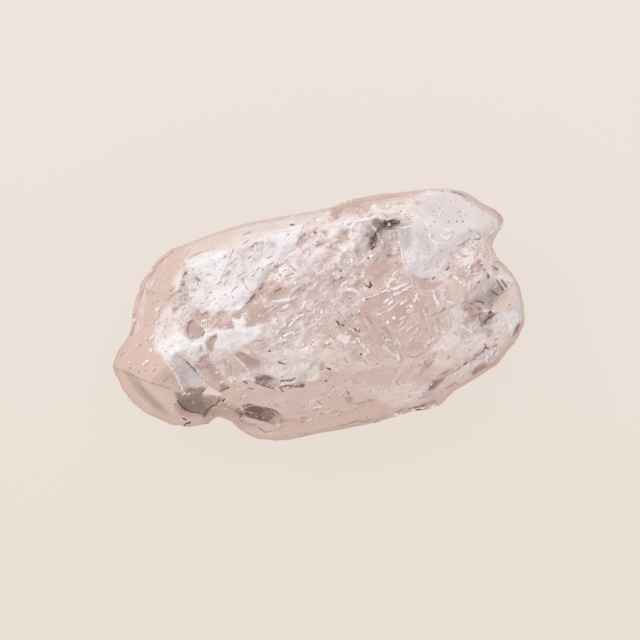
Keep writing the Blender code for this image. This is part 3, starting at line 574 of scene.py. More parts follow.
def loosePatches(kind, lean):
    rng = random.Random(kind["seed"])
    made = []
    while len(made) < kind["count"]:
        x, y = rng.uniform(*loose["across"]), rng.uniform(*loose["up"])
        if not isIn(kind["area"], x, y):
            continue
        a = math.radians(lean(x, y) + rng.gauss(0, loose["lean"]))
        long, wide = rng.uniform(*kind["length"]) / 2, rng.uniform(*kind["width"]) / 2
        corners = []
        for u, v in loose["corners"]:
            u = (u + rng.uniform(-loose["stray"], loose["stray"])) * long
            v = (v + rng.uniform(-loose["stray"], loose["stray"])) * wide
            corners.append((x + u * math.cos(a) - v * math.sin(a), y + u * math.sin(a) + v * math.cos(a)))
        edge, height = rng.uniform(*loose["edge"]), rng.uniform(*loose["height"])
        made.append((rng.choice(kind["finishes"]), rng.uniform(*kind["much"]), edge, height, corners))
    return made


ragged = {
    "wide": (0.6, 71),     # size in mm and salt of the waves in the patches' edges
    "wideReach": 0.07,     # mm
    "narrow": (0.28, 72),
    "narrowReach": 0.05,
    "wholeFrom": 0.12,     # mm, a crisper edge than this is less ragged
    "margin": 0.6,         # mm round a patch that it may reach
    "stepEdge": 0.1,       # mm, half the width of the step round a raised patch
}

# The slopes have a thicker veil, made paler by painted light against the shade that they get, and their
# clear colour is painted lighter too; the hidden sides are matt and evenly stained.
# A slope is told by the upward part of the way that it faces.
sides = {
    "topFrom": (0.0, 0.2),     # from where it is the top, and where in full
    "steep": (0.93, 0.65),
    "turnedUnder": (-0.95, -0.5),
    "veil": 0.40,
    "etched": (0.35, 0.65),
    "lessIfEtched": 0.15,
    "slopePaintedLight": 0.08,
    "slopePaintedClear": 0.35,
    "foot": 4.0,               # mm above the resting face at which the top's paint ends
    "backFoot": 2.6,           # mm more along the back, where the widest line is higher
    "backFrom": (3.5, 5.5),
    "backLeft": (-11.5, -8.5),
    "footEdge": 0.3,
    "lowerVeil": 0.08,
    "lowerStain": np.array((0.86, 0.69, 0.63)),
    "lowerMuch": 0.75,
    "matt": 0.12,
}

rimBand = {
    "inner": 0.42,     # mm from the outline at which the darker rim begins
    "outer": 0.15,
    "topFrom": (-0.1, 0.1),
    "much": 0.6,
    "finish": (0.7, (0.72, 0.53, 0.48), (0.93, 0.87, 0.85), 0.2),
}


def paintPatches(place, way):
    # what each point's patches give it: the veil and its colour, the clear colour, the etching, and
    # how far the point is raised
    x, y = onPlan(place)
    up = way[:, 2]
    # small faces that look up below the widest line aren't seen from above
    foot = sides["foot"] + sides["backFoot"] * smooth(*sides["backFrom"], y) * smooth(*sides["backLeft"], x)
    upper = smooth(-sides["footEdge"], sides["footEdge"], place[:, 2] - foot)
    top = smooth(*sides["topFrom"], up) * upper
    values = np.tile(np.hstack(finishes["clear"]), (len(place), 1))
    lift = np.zeros(len(place))
    wobble = swell(place, *ragged["wide"]) * ragged["wideReach"]
    wobble += swell(place, *ragged["narrow"]) * ragged["narrowReach"]
    strewnOnes = loosePatches(facets, angleAt) + loosePatches(bands, bandAngle)
    for finish, much, edge, height, shape in patches[:1] + strewnOnes + patches[1:]:
        left, low = np.min(shape, axis=0) - ragged["margin"]
        right, high = np.max(shape, axis=0) + ragged["margin"]
        i = np.nonzero((x > left) & (x < right) & (y > low) & (y < high) & (top > 0))[0]
        depth = depthIn(shape, x[i], y[i]) + wobble[i] * min(1, edge / ragged["wholeFrom"])
        part = smooth(-edge, edge, depth) * top[i] * much
        values[i] += (np.hstack(finishes[finish]) - values[i]) * part[:, None]
        lift[i] += height * smooth(-ragged["stepEdge"], ragged["stepEdge"], depth) * top[i]
    veil, stain, tint = values[:, 0], values[:, 1:4], values[:, 4:7]
    steep = smooth(*sides["steep"], up) * smooth(*sides["turnedUnder"], up)
    etched = smooth(*sides["etched"], values[:, 7])
    lower = 1 - top
    veil += steep * (sides["veil"] - sides["lessIfEtched"] * etched) + sides["lowerVeil"] * lower
    # painted light: the slopes' veil colour and clear colour are made lighter against the shade that they
    # get
    stain[:] = np.minimum(stain * (1 + sides["slopePaintedLight"] * steep)[:, None], 1)
    stain += (sides["lowerStain"] - stain) * (sides["lowerMuch"] * lower)[:, None]
    tint += (1 - tint) * (sides["slopePaintedClear"] * steep)[:, None]
    values[:, 7] += sides["matt"] * lower
    rim = smooth(rimBand["inner"], rimBand["outer"], depthIn(outline, x, y) + wobble) * rimBand["much"]
    rim *= smooth(*rimBand["topFrom"], up)
    values += (np.hstack(rimBand["finish"]) - values) * rim[:, None]
    print("patches painted:", len(patches), "placed and", len(strewnOnes), "strewn")
    return values, lift


# Marks on the plan: half width in mm, strength, and for each mark the points that it runs through, their
# x and y in turn. A mark of one point is a dot.
darkMarks = [
    (0.055, 1, [  # black pits and slits
        (-11.75, -5.3, -11.55, -5.55), (-11.85, -5.95, -11.55, -5.75, -11.3, -5.8),
        (-6.62, -3.6, -6.42, -3.8), (-0.35, -3.98, -0.15, -4.1), (1.1, -0.7, 1.25, -1),
        (1.45, -1.08, 1.55, -1.15), (2.28, -1.55, 2.36, -1.75), (3.72, 1.45, 4, 1.18),
        (4, 1.18, 4.2, 1.32, 4.12, 1.55), (4.75, 3.9, 5.05, 4.05), (8.7, 0.8, 8.88, 0.9),
        (-8.55, -4.75, -8.35, -4.62), (6.15, 5.5, 6.18, 5.75), (6.45, 5.6, 6.8, 5.68), (6.6, 5.45, 7, 5.4),
    ]),
    (0.07, 1, [  # black dots
        (-4.2, -1.8), (-0.6, -4.88), (2.56, -1.76), (2.3, -3.5), (4.38, 3.32), (2.38, 0.68), (12.02, -0.17),
        (11.75, -1.56), (11.72, -2.13),
    ]),
    (0.05, 0.8, [  # dark slits
        (5.2, 4.9, 5.9, 5.5), (5, 4.6, 5.6, 5.3), (6, 5.3, 6.6, 5.7), (5.5, 5, 6.3, 5.5),
        (4.8, 4.3, 5.3, 4.75), (-4, -4.2, -3.6, -4.15, -3.3, -4.3, -2.8, -4.2),
        (-4.1, -4.62, -3.3, -4.62, -2.9, -4.85, -2.35, -4.86), (-4.1, -4.65, -3.92, -5),
        (-3.78, -2.75, -3.5, -2.9, -3.35, -3), (-10.45, -1.25, -10.15, -1.75, -9.95, -2.1),
        (-11.1, -4.98, -10.4, -5.22), (-11.85, -3.98, -11.5, -4.65, -11.15, -4.95),
        (-9.6, -3.5, -9.9, -3.75), (-10, -5.2, -9.5, -4.97, -9, -4.85, -8.7, -4.6),
        (-8.5, -3.95, -8.1, -3.9, -7.75, -3.78), (-6.9, -6.02, -6.35, -6.32, -5.9, -6.5),
        (-6.2, -6.6, -5.7, -6.85), (-7.4, -6, -6.9, -5.98), (12.85, -1, 13.05, -1.2, 13.3, -1.42),
        (13.45, -0.35, 13.6, -0.7, 13.75, -1.15), (13.8, -0.35, 13.95, -0.7, 14.1, -1),
        (13.45, 0.7, 13.7, 0.4), (11.9, -1.6, 12.1, -1.8), (0.75, -6.02, 0.85, -6.25),
        (5, -8.35, 5.7, -8.38, 6.3, -8.3), (5.5, -8.5, 5.95, -8.6), (9.7, -5.97, 9.95, -5.87),
        (11.35, -5.32, 11.62, -5.05, 11.6, -4.78), (11.62, -5.05, 11.8, -5.2), (-8.85, 0.4, -8.62, 0.62),
        (3.55, 0.4, 3.75, 0.38), (9.85, 1.2, 10.1, 1.38), (-0.42, 6.95, -0.7, 6.98), (4.9, 4.75, 5.2, 4.4),
        (-6.35, -4.2, -6.1, -4.27),
    ]),
    (0.042, 0.42, [  # brown dashes in the white and around it
        (-10.8, 3.5, -10.3, 3.85, -9.8, 4.02), (-10.55, 4.1, -10.1, 4.3), (-11.65, 3.62, -11.4, 3.67),
        (-9.9, 2.5, -9.6, 2.7), (-10.75, 2.05, -10.6, 2.12), (-13.7, 0.72, -13.42, 0.78),
        (-15.3, 0.25, -15, 0.45), (-14.25, -1.25, -14.05, -1.16), (-13.7, -1.3, -13.52, -1.22),
        (-13.1, -1.42, -12.85, -1.3), (-12.8, -1, -12.66, -0.92), (-12.5, -2.35, -12.12, -2.1),
        (-13.75, 2.85, -13.45, 3.12), (-5.65, 5.08, -5.1, 5.4), (-4.4, 6.33, -3.95, 6.55),
        (-5.35, 4.05, -4.6, 4.28), (-6.9, 3.85, -6.6, 3.98), (-6.4, 3.7, -6.1, 3.98),
        (-5.95, 3.12, -5.45, 3.38), (-6.55, 2.95, -6.4, 3.02), (-3.85, 4.15, -3.65, 4.42),
        (-2.9, 4.9, -2.5, 5.02), (-3, 4.42, -2.45, 4.5), (-1.4, 4, -1.05, 3.65), (-4.2, 7.05, -3.7, 7.12),
        (-1.1, 6.25, -0.9, 6.35), (-4.25, 5.2, -4.05, 5.3), (-7.6, 4.65, -7.2, 4.7),
        (-8.1, 4.85, -7.9, 4.95), (-8.35, 4.7, -8.15, 4.4), (-4.5, 2.2, -4.38, 2.3), (-3.9, 1.2, -3.2, 1.4),
        (-3.3, 1.1, -3, 1.18), (-2.8, 1.3, -2.4, 1.35, -1.8, 1.38), (-2.75, 0.83, -2.5, 0.87),
        (-3.3, 0.65, -3.15, 0.78), (-1.7, 1.9, -1.1, 2.2), (-0.7, 2.2, -0.25, 2.4), (0, 2.02, 0.35, 2.15),
        (-1.9, 3.3, -1.2, 3.42), (-2, 3.7, -1.7, 3.78), (-2.6, 3.75, -2.3, 3.82), (-0.2, 0.95, 0, 1.08),
        (-1.6, 0.45, -1.3, 0.5), (-1, 0.5, -0.6, 0.42), (-2.8, 3.15, -2.4, 3.28), (-8.3, 1.3, -8.05, 1.35),
        (-7.5, 0.72, -7.1, 0.85), (-8.85, 1.65, -8.75, 1.6), (-3, -0.75, -2.8, -0.78),
        (-2.3, -0.68, -2.1, -0.66), (0.35, -1.6, 0.55, -1.9), (3.05, -1.4, 3.22, -1.8),
        (3.35, -0.85, 3.6, -1.45), (2.2, -0.3, 2.32, -0.6), (1.35, -0.05, 1.5, -0.35),
        (2.45, 1.75, 2.62, 1.58), (1.05, -3.5, 1.22, -3.95), (2.45, -3.95, 2.6, -4.3),
        (4.5, -5.15, 4.7, -5.5), (4.45, -6, 4.58, -6.15), (5.75, -4.4, 6.1, -4.6, 6.6, -4.56, 6.95, -4.3),
        (6.85, -5, 6.95, -5.55), (6.95, -5.55, 7.6, -5.12), (7.15, -7.1, 7.35, -6.98),
        (7.4, -6.93, 7.6, -6.87), (7.65, -6.8, 8.1, -6.58), (-0.5, -8.42, 0, -8.5, 1, -8.36),
        (1.1, -8.42, 1.4, -8.55, 2, -8.5), (3.9, -8.35, 4.3, -8.4), (1.1, 7.05, 1.2, 7.07),
        (2.45, 7.35, 2.85, 7.55), (3.35, 6.03, 3.7, 6.06), (10.82, 7.08, 11, 7),
        (11.7, 6.85, 12.1, 6.65, 12.6, 6.25), (7.4, 6.85, 7.5, 6.75), (8.9, 4.62, 9, 4.48),
        (10.3, 2.25, 10.6, 2.45), (11.1, 2.75, 11.6, 2.95, 12.1, 3.1), (13.45, 1.05, 14, 1),
        (12.65, 3.4, 12.9, 3.28), (9.3, -0.5, 9.36, -0.62), (8.78, -0.65, 8.95, -0.42),
        (11.15, -1.95, 11.25, -2.05), (14.02, -2.42, 14.08, -2.3), (9.35, -3.4, 9.65, -3.7),
        (12.4, -4.7, 12.7, -4.58), (12.35, -5.15, 12.5, -5), (10.25, -6.7, 10.9, -6.5, 11.3, -6.3),
        (8.8, -6.35, 9.4, -6.15), (8.05, -7.42, 8.3, -7.35, 8.85, -7.12), (6.2, -7.42, 6.4, -7.4),
        (1.6, -7.1, 1.85, -7.02), (-1.6, -6.2, -1.3, -6.6), (-2, -6.92, -1.8, -6.8),
        (-1.6, -7.25, -1.3, -7.3), (-6.4, -7.2, -6, -7.65, -5.9, -7.72), (6.1, 6.4, 6.4, 6.05),
    ]),
    (0.03, 0.45, [  # thin lines
        (-15.35, -0.9, -14.6, -1.45, -13.7, -2.05, -12.8, -2.55, -12, -3), (-10.85, -0.7, -10.4, -1.3),
        (-9.9, -2.2, -9.5, -2.8, -9, -3.5, -8.5, -3.95), (-8.75, -1, -8.7, -1.6, -8.3, -2.4),
        (-7.8, -1.7, -7.55, -2.1), (-7.35, -2.3, -7.4, -2.9), (-6.4, -1.4, -5.7, -2.05),
        (-5.6, -1.4, -5.3, -2), (-5, -4.1, -4.4, -4.8), (-5.9, -7.72, -5, -7.72, -4, -7.5),
        (-8.9, 2.5, -8.55, 2), (-5.8, 5, -5.6, 5.6, -5.2, 6.1), (-5, 3.9, -4.9, 3.2, -4.7, 2.9),
        (0.3, 6.8, -0.1, 6.1, -0.6, 5.3), (6.85, 4.8, 6.8, 3.6, 6.75, 2.9),
        (2.35, 7.05, 2.75, 6.68, 3.2, 6.9), (4, 6.05, 5, 6), (9.9, 1.25, 10.3, 1.75),
        (8.7, -6.4, 9.9, -5.92, 11, -5.5, 11.4, -5.32), (11.3, -6.3, 12.3, -5.9), (10.9, -3.4, 12, -2.85),
        (7.3, -7, 7.9, -6.7), (12.4, -2.25, 13, -1.9, 13.5, -1.4, 14.2, -1.15), (-8.6, 6.25, -7, 6.5),
        (-9.2, 6, -8.4, 6.9), (-13, 3.9, -12.2, 5.2, -10.8, 6.4, -9.7, 7), (-14.2, 1.7, -13.6, 2.6),
        (12.3, -5.4, 12, -5.75),
    ]),
    (0.048, 0.62, [
        (-8.4, 5.3), (-8.35, 4.12), (-8.62, 3.8), (-7.6, 3.37), (-8.35, 2.72), (-5.92, 5.77), (-4.65, 5.37),
        (-3.87, 5.68), (-1.52, 5.4), (-5.3, 3.92), (-4.9, 4.83), (-6.63, 2.1), (-6, 2.63), (-4.6, 2.77),
        (-3.4, 4.15), (-4.2, 3.9), (-0.3, 5.15), (0.25, 4.83), (0.27, 4.5), (1.55, 4.3), (1, 5.3),
        (1.62, 5.88), (-10.2, 1.55), (-11.25, 0.15), (-14.2, 1.6), (-11.42, 1.68), (-12.02, 3.53),
        (-12.55, -1.1), (-14.6, -1.45), (-14.75, -0.8), (-11.8, -0.2), (-9.45, -4.4), (-9.5, -5.55),
        (-9.75, -5.5), (-8.2, -4.3), (-7.15, -4.82), (-7.7, -4.7), (-8.75, 1.42), (-8.6, 1.27), (-3, -6.1),
        (-2.6, -6.2), (-2.35, -6.2), (-2.65, -6.42), (-0.72, -6.2), (-1.75, -6.78), (-0.88, -7),
        (-0.06, -7.4), (-0.2, -7.65), (-3.05, -7.58), (-4.75, -5.8), (-4.62, -5.92), (-3.82, -5.85),
        (-0.25, -5.45), (-2.5, -2), (-1.1, -2), (-0.9, -1.9), (-3.75, -3.88), (-1.65, -4.45), (-1.2, -4),
        (-4.5, -8.32), (1.8, -4.9), (0.85, -5.2), (1.35, -5.3), (1.6, -5.55), (2.4, -6.4), (3.02, -6.4),
        (5.08, -6.32), (6.13, -6.66), (5.35, -7.05), (5.2, -7.43), (7.2, -6.25), (1.15, -7.45),
        (3.35, -4.45), (3.75, -4.72), (2.83, -4.03), (4.22, -5.42), (4.6, -6.32), (1.9, -1.2), (2.8, -0.6),
        (0.28, 2.65), (1.2, 2.9), (2.2, 2.9), (2.7, 2.43), (0.83, 2.4), (1.28, 2.25), (1.7, 2.25),
        (0.42, 0.82), (1.85, 0.55), (3.5, 1.35), (3.6, 0.4), (6.67, 2.4), (6.35, 2.5), (3.7, 5.5),
        (4.42, 5.05), (7.55, 6.2), (7.75, 5.9), (8, 5.5), (11.38, 6.2), (10.42, 5.82), (9.8, 4.9),
        (10.83, 4.7), (11.45, 4.6), (11.78, 4.9), (12.22, 4.92), (11.9, 4.5), (11.85, 5.3), (13.45, 4.68),
        (9, 4.43), (9.75, 2.7), (9.35, 1.9), (9.25, 1.65), (12.3, 3.65), (11.8, 2.5), (13.15, 2.35),
        (12.5, 1.05), (11.72, 0.77), (11.6, 2.95), (10.05, 0.75), (9.55, -0.1), (12.2, -2.75), (9.35, -0.58),
        (14.3, -0.7), (7.7, -3.4), (7.65, -4.65), (8.3, -4.5), (8.7, -5.05), (9, -7.3), (10.35, -4.95),
        (5.75, -4.42), (8.35, -3.3), (0.3, 3), (-0.35, -0.65), (-2.85, -0.75), (8.95, 2.95), (8.9, 3.2),
        (14.05, 3.95), (12.2, 3.85), (-12.5, -4.35), (-12.1, -4.2), (0.2, 6.1), (0.6, 6.85), (-6, -7.7),
        (3.2, 2.95), (2, 4.1),
    ]),
]

# Pale marks: white cracks and lines, partly painted highlights along the edges of ledges
whiteAndHighlightMarks = [
    (0.085, 1, [
        (-11.95, -0.7, -11.7, -1.3, -11.45, -2.1, -11.32, -2.7, -11.25, -3.15), (-11.3, -3.62, -11.1, -3.5),
        (-13.7, -0.72, -13.3, -0.55), (-12.75, 1, -12.55, 1.15), (-11.8, 3, -11.62, 3.08),
        (-11.95, 2.55, -11.8, 2.68), (-12, 2.05, -11.95, 2.1), (-12.95, 0.1, -12.85, 0.2),
        (-9.3, -0.95, -9.1, -0.85), (-9.95, -1.3, -10, -1.22), (-9.9, -1.95, -9.6, -2.6, -9.45, -3),
        (-8.7, -1.1, -8.65, -1.6, -8.3, -2.2), (-6.75, -1.7, -6.4, -2.3, -6.05, -3.1),
        (-8.95, 1.05, -8.4, 1.1), (-8.65, 1.35, -8.62, 1.45), (-13.8, 2.6, -13.7, 2.65),
        (-3.9, -4.42, -3.3, -4.48, -2.7, -4.4), (-1.9, -6.75, -1.4, -6.7),
        (-4, -1.4, -3.4, -1.25, -2.9, -1.25), (-3.4, -1.1, -2.7, -0.85, -2.1, -0.75),
        (-2.2, -0.95, -1.8, -0.92), (-3.35, 0.35, -3.2, 0.42), (-2.5, 1.1, -2.2, 1.12),
        (-1.2, 0.8, -0.8, 1.2), (-3.2, 1.7, -2, 1.6, -1.3, 1.7), (-0.4, 0.25, -0.3, 0.45),
        (0.15, 0.15, 0.2, 0.3), (-8.35, -3.3, -8.2, -3.28), (-3.3, -0.5, -2.6, -0.1),
        (-2.4, -0.3, -1.7, 0.2), (-2, 0.1, -1.2, 0.3),
    ]),
    (0.105, 1, [
        (2.3, -2.3, 2.5, -2.7, 2.75, -3.1, 2.95, -3.5), (2.6, -3.62, 2.7, -3.55),
        (4.15, -2.1, 4.45, -2.5, 4.6, -2.9), (4.1, -3.4, 4.5, -3.8, 4.8, -4.2, 5, -4.6),
        (5, -4.6, 5.05, -4.2, 4.95, -3.9), (5.3, 0.65, 6, 0.72, 6.8, 0.9), (5.7, 0.28, 6, 0.32),
        (6.2, 0.4, 7, 0.62), (5.1, -0.32, 5.5, -0.12), (4.85, -0.1, 5.1, 0), (6, -0.5, 6.45, -0.28),
        (7, -0.5, 7.2, -0.2, 7.3, -0.05), (7.55, -1.2, 7.62, -1.7), (7.1, -4, 7.5, -3.68),
        (2, 1.75, 2.35, 1.95), (6.35, 3.55, 6.65, 3.6), (9.4, -1.05, 9.85, -1.3),
        (10.1, -3.05, 10.45, -3.35, 10.75, -3.65), (10.4, 0.55, 10.6, 0.2, 10.9, -0.15),
        (11.62, 2.3, 11.85, 2.02, 12.3, 1.98), (10.95, 2, 11.05, 1.7), (11.3, 1.3, 11.6, 1.1),
        (12.6, 1.6, 12.7, 1.45), (9.2, 4.05, 9.35, 3.5, 9.6, 3.25), (10.05, 3.8, 10.4, 3.45, 10.65, 3.65),
        (10.5, 4.15, 10.85, 4), (8.35, 5.8, 8.55, 5.55, 8.8, 5.4), (8.9, 5.2, 9.3, 4.8),
        (11.2, 3, 11.45, 2.97), (12.6, 3.15, 12.75, 3.12), (13.8, 3.2, 14, 3.35), (14.7, 3.5, 14.8, 3.7),
        (5.25, -8.45, 5.4, -8.5), (3.9, -8.55, 4.4, -8.6), (10.1, -4.25, 10.5, -4.2),
        (10.95, -4.1, 11.1, -4.3), (-7.55, -3.4, -7.25, -3.25), (-6.6, -3.45, -6.3, -3.5),
        (-6, -3.62, -5.85, -3.7), (-1.75, -3.45, -1.65, -3.6), (10.6, -1.3, 10.75, -1.2),
        (11.65, -5.5, 11.5, -6.1), (12.3, -5.3, 11.9, -5.7), (13.45, 2.35, 13.5, 1.95),
        (5.6, -8.45, 6.1, -8.5), (6.6, -8.62, 7, -8.55), (8.5, -0.1, 8.55, -0.7, 8.68, -1.05),
        (11.4, 0, 11.15, -0.6), (12, -2.35, 12.35, -2.4),
    ]),
    (0.055, 0.9, [
        (4.2, -0.9, 5, -0.78, 5.6, -0.5), (5, -2.3, 5.15, -2.8, 5.35, -3.6), (5.4, -2.1, 5.88, -1.82),
        (5.4, -2.5, 5.85, -2.2), (6, -2.5, 6.5, -2.35, 7, -2.12), (6, -3.35, 6.3, -3.2),
        (7.62, -1.7, 7.65, -2.3, 7.78, -3), (3.4, 0.42, 4.6, 0.6, 5.2, 0.75), (5.3, 1, 5.9, 1.5),
        (5.2, 1, 5.6, 1.45), (6.85, 4.4, 6.88, 3.4, 6.88, 2, 7.2, 1.3, 7.15, 0.4),
        (8.95, 6.8, 9, 6.25, 9.4, 5.82, 9.9, 5.55, 10.3, 5.35), (10.3, 5.35, 10.42, 5.6),
        (6.9, 5.1, 7.3, 4.97, 8, 4.96), (5.2, 5.5, 5.6, 4.7), (5.4, 4.8, 5.7, 4.15),
        (-5.3, 6.15, -5.85, 5.3, -6.7, 4.2), (1, 1, 1.3, 0.6), (12, 2, 11.95, 1.4), (12.7, 1.6, 13.1, 0.8),
        (11.2, 0.55, 12.2, 0.5), (8.15, -2.7, 8.3, -3.2), (3, -3, 3.2, -2.95), (6.4, -2.9, 6.9, -2.5),
        (5.7, -1.6, 6.1, -1.5), (9.3, -2.1, 9.2, -2.9), (11, -3.6, 11.6, -3.1), (-12, 4.7, -11.4, 5.4),
        (13.4, 1.9, 13.4, 1.1),
    ]),
    (0.13, 1, [
        (4.1, -3.35, 4.35, -3.55), (4.2, -2.6, 4.35, -2.9), (7.8, -3.6), (1.6, -1.7), (2.02, -2.5),
        (2.83, -0.35), (9.35, -6.72), (10.15, -6.02), (4.6, 3.72), (4.62, 3.42), (-8.45, -2.53),
        (-0.5, -1.42), (-4.4, -3.27), (6.4, 5.45), (6.25, 4.48), (6.45, 4.88), (9, -6.5), (-1.7, -1.83),
        (-1.3, 2.68), (2.75, 3.3), (6.72, -0.85), (6.42, -1.12), (5.27, -1.4), (4.72, -1.62), (11.5, 1.1),
        (11.52, 0.78), (12.72, 5.65), (1.7, 4.95), (3.1, 3.35), (3.7, 2.15), (0.35, 2.95), (6.6, 6.8),
        (14.75, 3.45), (3.4, 0.4), (5, -3.25),
    ]),
]

markSets = {"dark": ("darkOne", "darkTwo", "darkThree"), "light": ("lightOne", "lightTwo", "lightThree")}

# More marks strewn at random. For each kind: how many, the longest in mm, and the least and most half
# width in mm and strength
scatter = {
    "seed": 55,
    "darkOnTop": (320, 0.6, (0.018, 0.04), (0.12, 0.4)),
    "lightOnTop": (900, 0.35, (0.02, 0.06), (0.5, 1.0)),
    "darkHidden": (200, 0.5, (0.02, 0.05), (0.3, 0.8)),
    "lightHidden": (200, 1.2, (0.02, 0.06), (0.4, 0.9)),
    "shortest": 0.01,
    "shortness": 2.5,        # the higher, the more of them are short
    "lean": 14,              # degrees that they stray from the grain
    "across": (-15.6, 15),   # where they are tried on the plan
    "up": (-8.6, 7.8),
    "calmBelow": -4.8,       # the smooth band along the front
    "calmLeft": -12,         # the smooth pointed end
    "calmShare": 0.8,        # share of them left out on such faces
    "hiddenLean": 0.4,       # how far the hidden ones lean off their common way
    "hiddenRise": 0.3,
}


def someLength(rng, longest):
    return longest * rng.random() ** scatter["shortness"] + scatter["shortest"]


def strewn(rng, count, longest, halves, strengths):
    # small marks strewn over the top, along the grain and few on the smooth faces
    made = []
    while len(made) < count:
        x, y = rng.uniform(*scatter["across"]), rng.uniform(*scatter["up"])
        if not isIn(outline, x, y):
            continue
        calm = isIn(grain["quietArea"], x, y) or y < scatter["calmBelow"] or x < scatter["calmLeft"]
        if calm and rng.random() < scatter["calmShare"]:
            continue
        a = math.radians(angleAt(x, y) + rng.gauss(0, scatter["lean"]))
        long = someLength(rng, longest)
        dx, dy = math.cos(a) * long / 2, math.sin(a) * long / 2
        line = [(x - dx, y - dy), (x + dx, y + dy)]
        made.append((rng.uniform(*halves), rng.uniform(*strengths), line))
    return made


def hiddenMarks(rng, place, way, count, longest, halves, strengths):
    # the same on the sides and the underside, across the way that each point faces
    under = np.nonzero(way[:, 2] < 0.0)[0]
    made = []
    for _ in range(count):
        i = under[rng.randrange(len(under))]
        lean = rng.uniform(-scatter["hiddenLean"], scatter["hiddenLean"])
        side = np.cross(way[i], (lean, 1, scatter["hiddenRise"])) + way[i] * 0.001
        half = side / np.linalg.norm(side) * someLength(rng, longest) / 2
        made.append((rng.uniform(*halves), rng.uniform(*strengths), [place[i] - half, place[i] + half]))
    return made


class MarkSets:
    # each point keeps one mark of each set; marks that would meet go to different sets
    margin = 0.6     # mm round a mark in which points are looked for
    clash = 0.45     # mm from a mark at which it would meet another
    reach = 0.27     # mm from a mark at which points still show it
    dot = 0.01       # mm, the length of a dot's line
    unset = 9.0      # mm, the distance that a point without a mark starts with
    topFrom = -0.1   # the upward part of the way that a point of the top faces

    def __init__(self, place, way, names):
        self.place = place
        self.order = np.argsort(place[:, 0])
        self.sortedX = place[self.order, 0]
        self.top = way[:, 2] > self.topFrom
        n = len(place)
        self.sets = {name: (np.full(n, self.unset), np.zeros((n, 4)), np.zeros((n, 4))) for name in names}

    def segments(self, line):
        # the points near a line, how far each is from it, and the ends of its nearest segment
        flat = len(line[0]) == 2
        if flat:
            line = [(a + plan["middle"][0], b + plan["middle"][1], 0) for a, b in line]
        line = np.array(line, float)
        if len(line) == 1:
            line = np.array([line[0], line[0] + (self.dot, 0, 0)])
        low, high = line.min(axis=0) - self.margin, line.max(axis=0) + self.margin
        i = self.order[np.searchsorted(self.sortedX, low[0]):np.searchsorted(self.sortedX, high[0])]
        near = self.place[i]
        keep = (near[:, 1] > low[1]) & (near[:, 1] < high[1]) & (self.top[i] == flat)
        if not flat:
            keep &= (near[:, 2] > low[2]) & (near[:, 2] < high[2])
        i, near = i[keep], near[keep]
        far, ends = np.full(len(i), self.unset), np.zeros((len(i), 6))
        for a, b in zip(line, line[1:]):
            start = np.tile(a, (len(i), 1))
            if flat:
                start[:, 2] = near[:, 2]
            run = b - a
            t = np.clip((near - start) @ run / (run @ run), 0, 1)
            here = np.linalg.norm(near - start - t[:, None] * run, axis=1)
            closer = here < far
            far = np.where(closer, here, far)
            ends = np.where(closer[:, None], np.hstack([start, start + run]), ends)
        return i, far, ends

    def add(self, names, half, strength, line, must):
        # 1 if the mark finds a place; one that must be there takes the emptiest set
        i, far, ends = self.segments(line)
        far = far - half
        zone = far < self.clash
        clashes = [np.count_nonzero(self.sets[name][0][i[zone]] < self.reach) for name in names]
        if min(clashes) > 0 and not must:
            return 0
        known, start, end = self.sets[names[clashes.index(min(clashes))]]
        better = far < known[i]
        j = i[better]
        known[j] = far[better]
        start[j, :3], end[j, :3] = ends[better, :3], ends[better, 3:]
        start[j, 3] = half
        end[j, 3] = np.where(far[better] < self.reach, strength, 0)
        return 1

    def store(self, mesh):
        for name, (_, start, end) in self.sets.items():
            store(mesh, name + "Start", "FLOAT_COLOR", start)
            store(mesh, name + "End", "FLOAT_COLOR", end)


def addMarks(mesh, place, way):
    rng = random.Random(scatter["seed"])
    sets = MarkSets(place, way, markSets["dark"] + markSets["light"])
    made = 0
    for kind, rows in (("dark", darkMarks), ("light", whiteAndHighlightMarks)):
        for half, strength, runs in rows:
            for run in runs:
                made += sets.add(markSets[kind], half, strength, list(zip(run[::2], run[1::2])), True)
    more = [("dark", mark) for mark in strewn(rng, *scatter["darkOnTop"])]
    more += [("light", mark) for mark in strewn(rng, *scatter["lightOnTop"])]
    more += [("dark", mark) for mark in hiddenMarks(rng, place, way, *scatter["darkHidden"])]
    more += [("light", mark) for mark in hiddenMarks(rng, place, way, *scatter["lightHidden"])]
    extra = sum(sets.add(markSets[kind], *mark, False) for kind, mark in more)
    sets.store(mesh)
    print("marks:", made, "placed and", extra, "strewn")


# Relief of the surface. For breaks: size in mm, tilt, step in mm and salt. For swells: size in mm and
# salt, with how far they rise in mm beside them.
relief = {
    "hackly": 0.8,
    "largeBreaks": (1.15, 0.13, 0.06, 11),
    "smallBreaks": (0.5, 0.14, 0.03, 23),
    "leftLines": (0.24, 31),
    "middleLines": (0.24, 32),
    "lineRise": 0.03,
    "lineLeast": 0.25,        # share of the lines' rise on smooth faces
    "growth": (0.3, 41),
    "growthRise": 0.012,
    "growthStretch": 9.0,
    "dents": (1.7, 42),
    "dentRise": 0.03,
    "waves": (0.7, 43),
    "waveRise": 0.015,
    "rim": (0.15, 0.9),       # mm inside the outline over which the relief grows
    "topFrom": (0.1, 0.4),    # the upward part of the way that a rough face looks
    "etched": (0.3, 0.9),
    "bare": (1.0, 0.7),       # a thick veil is smoother than a thin one
    "middleEdge": 0.3,        # mm over which the grain turns
}


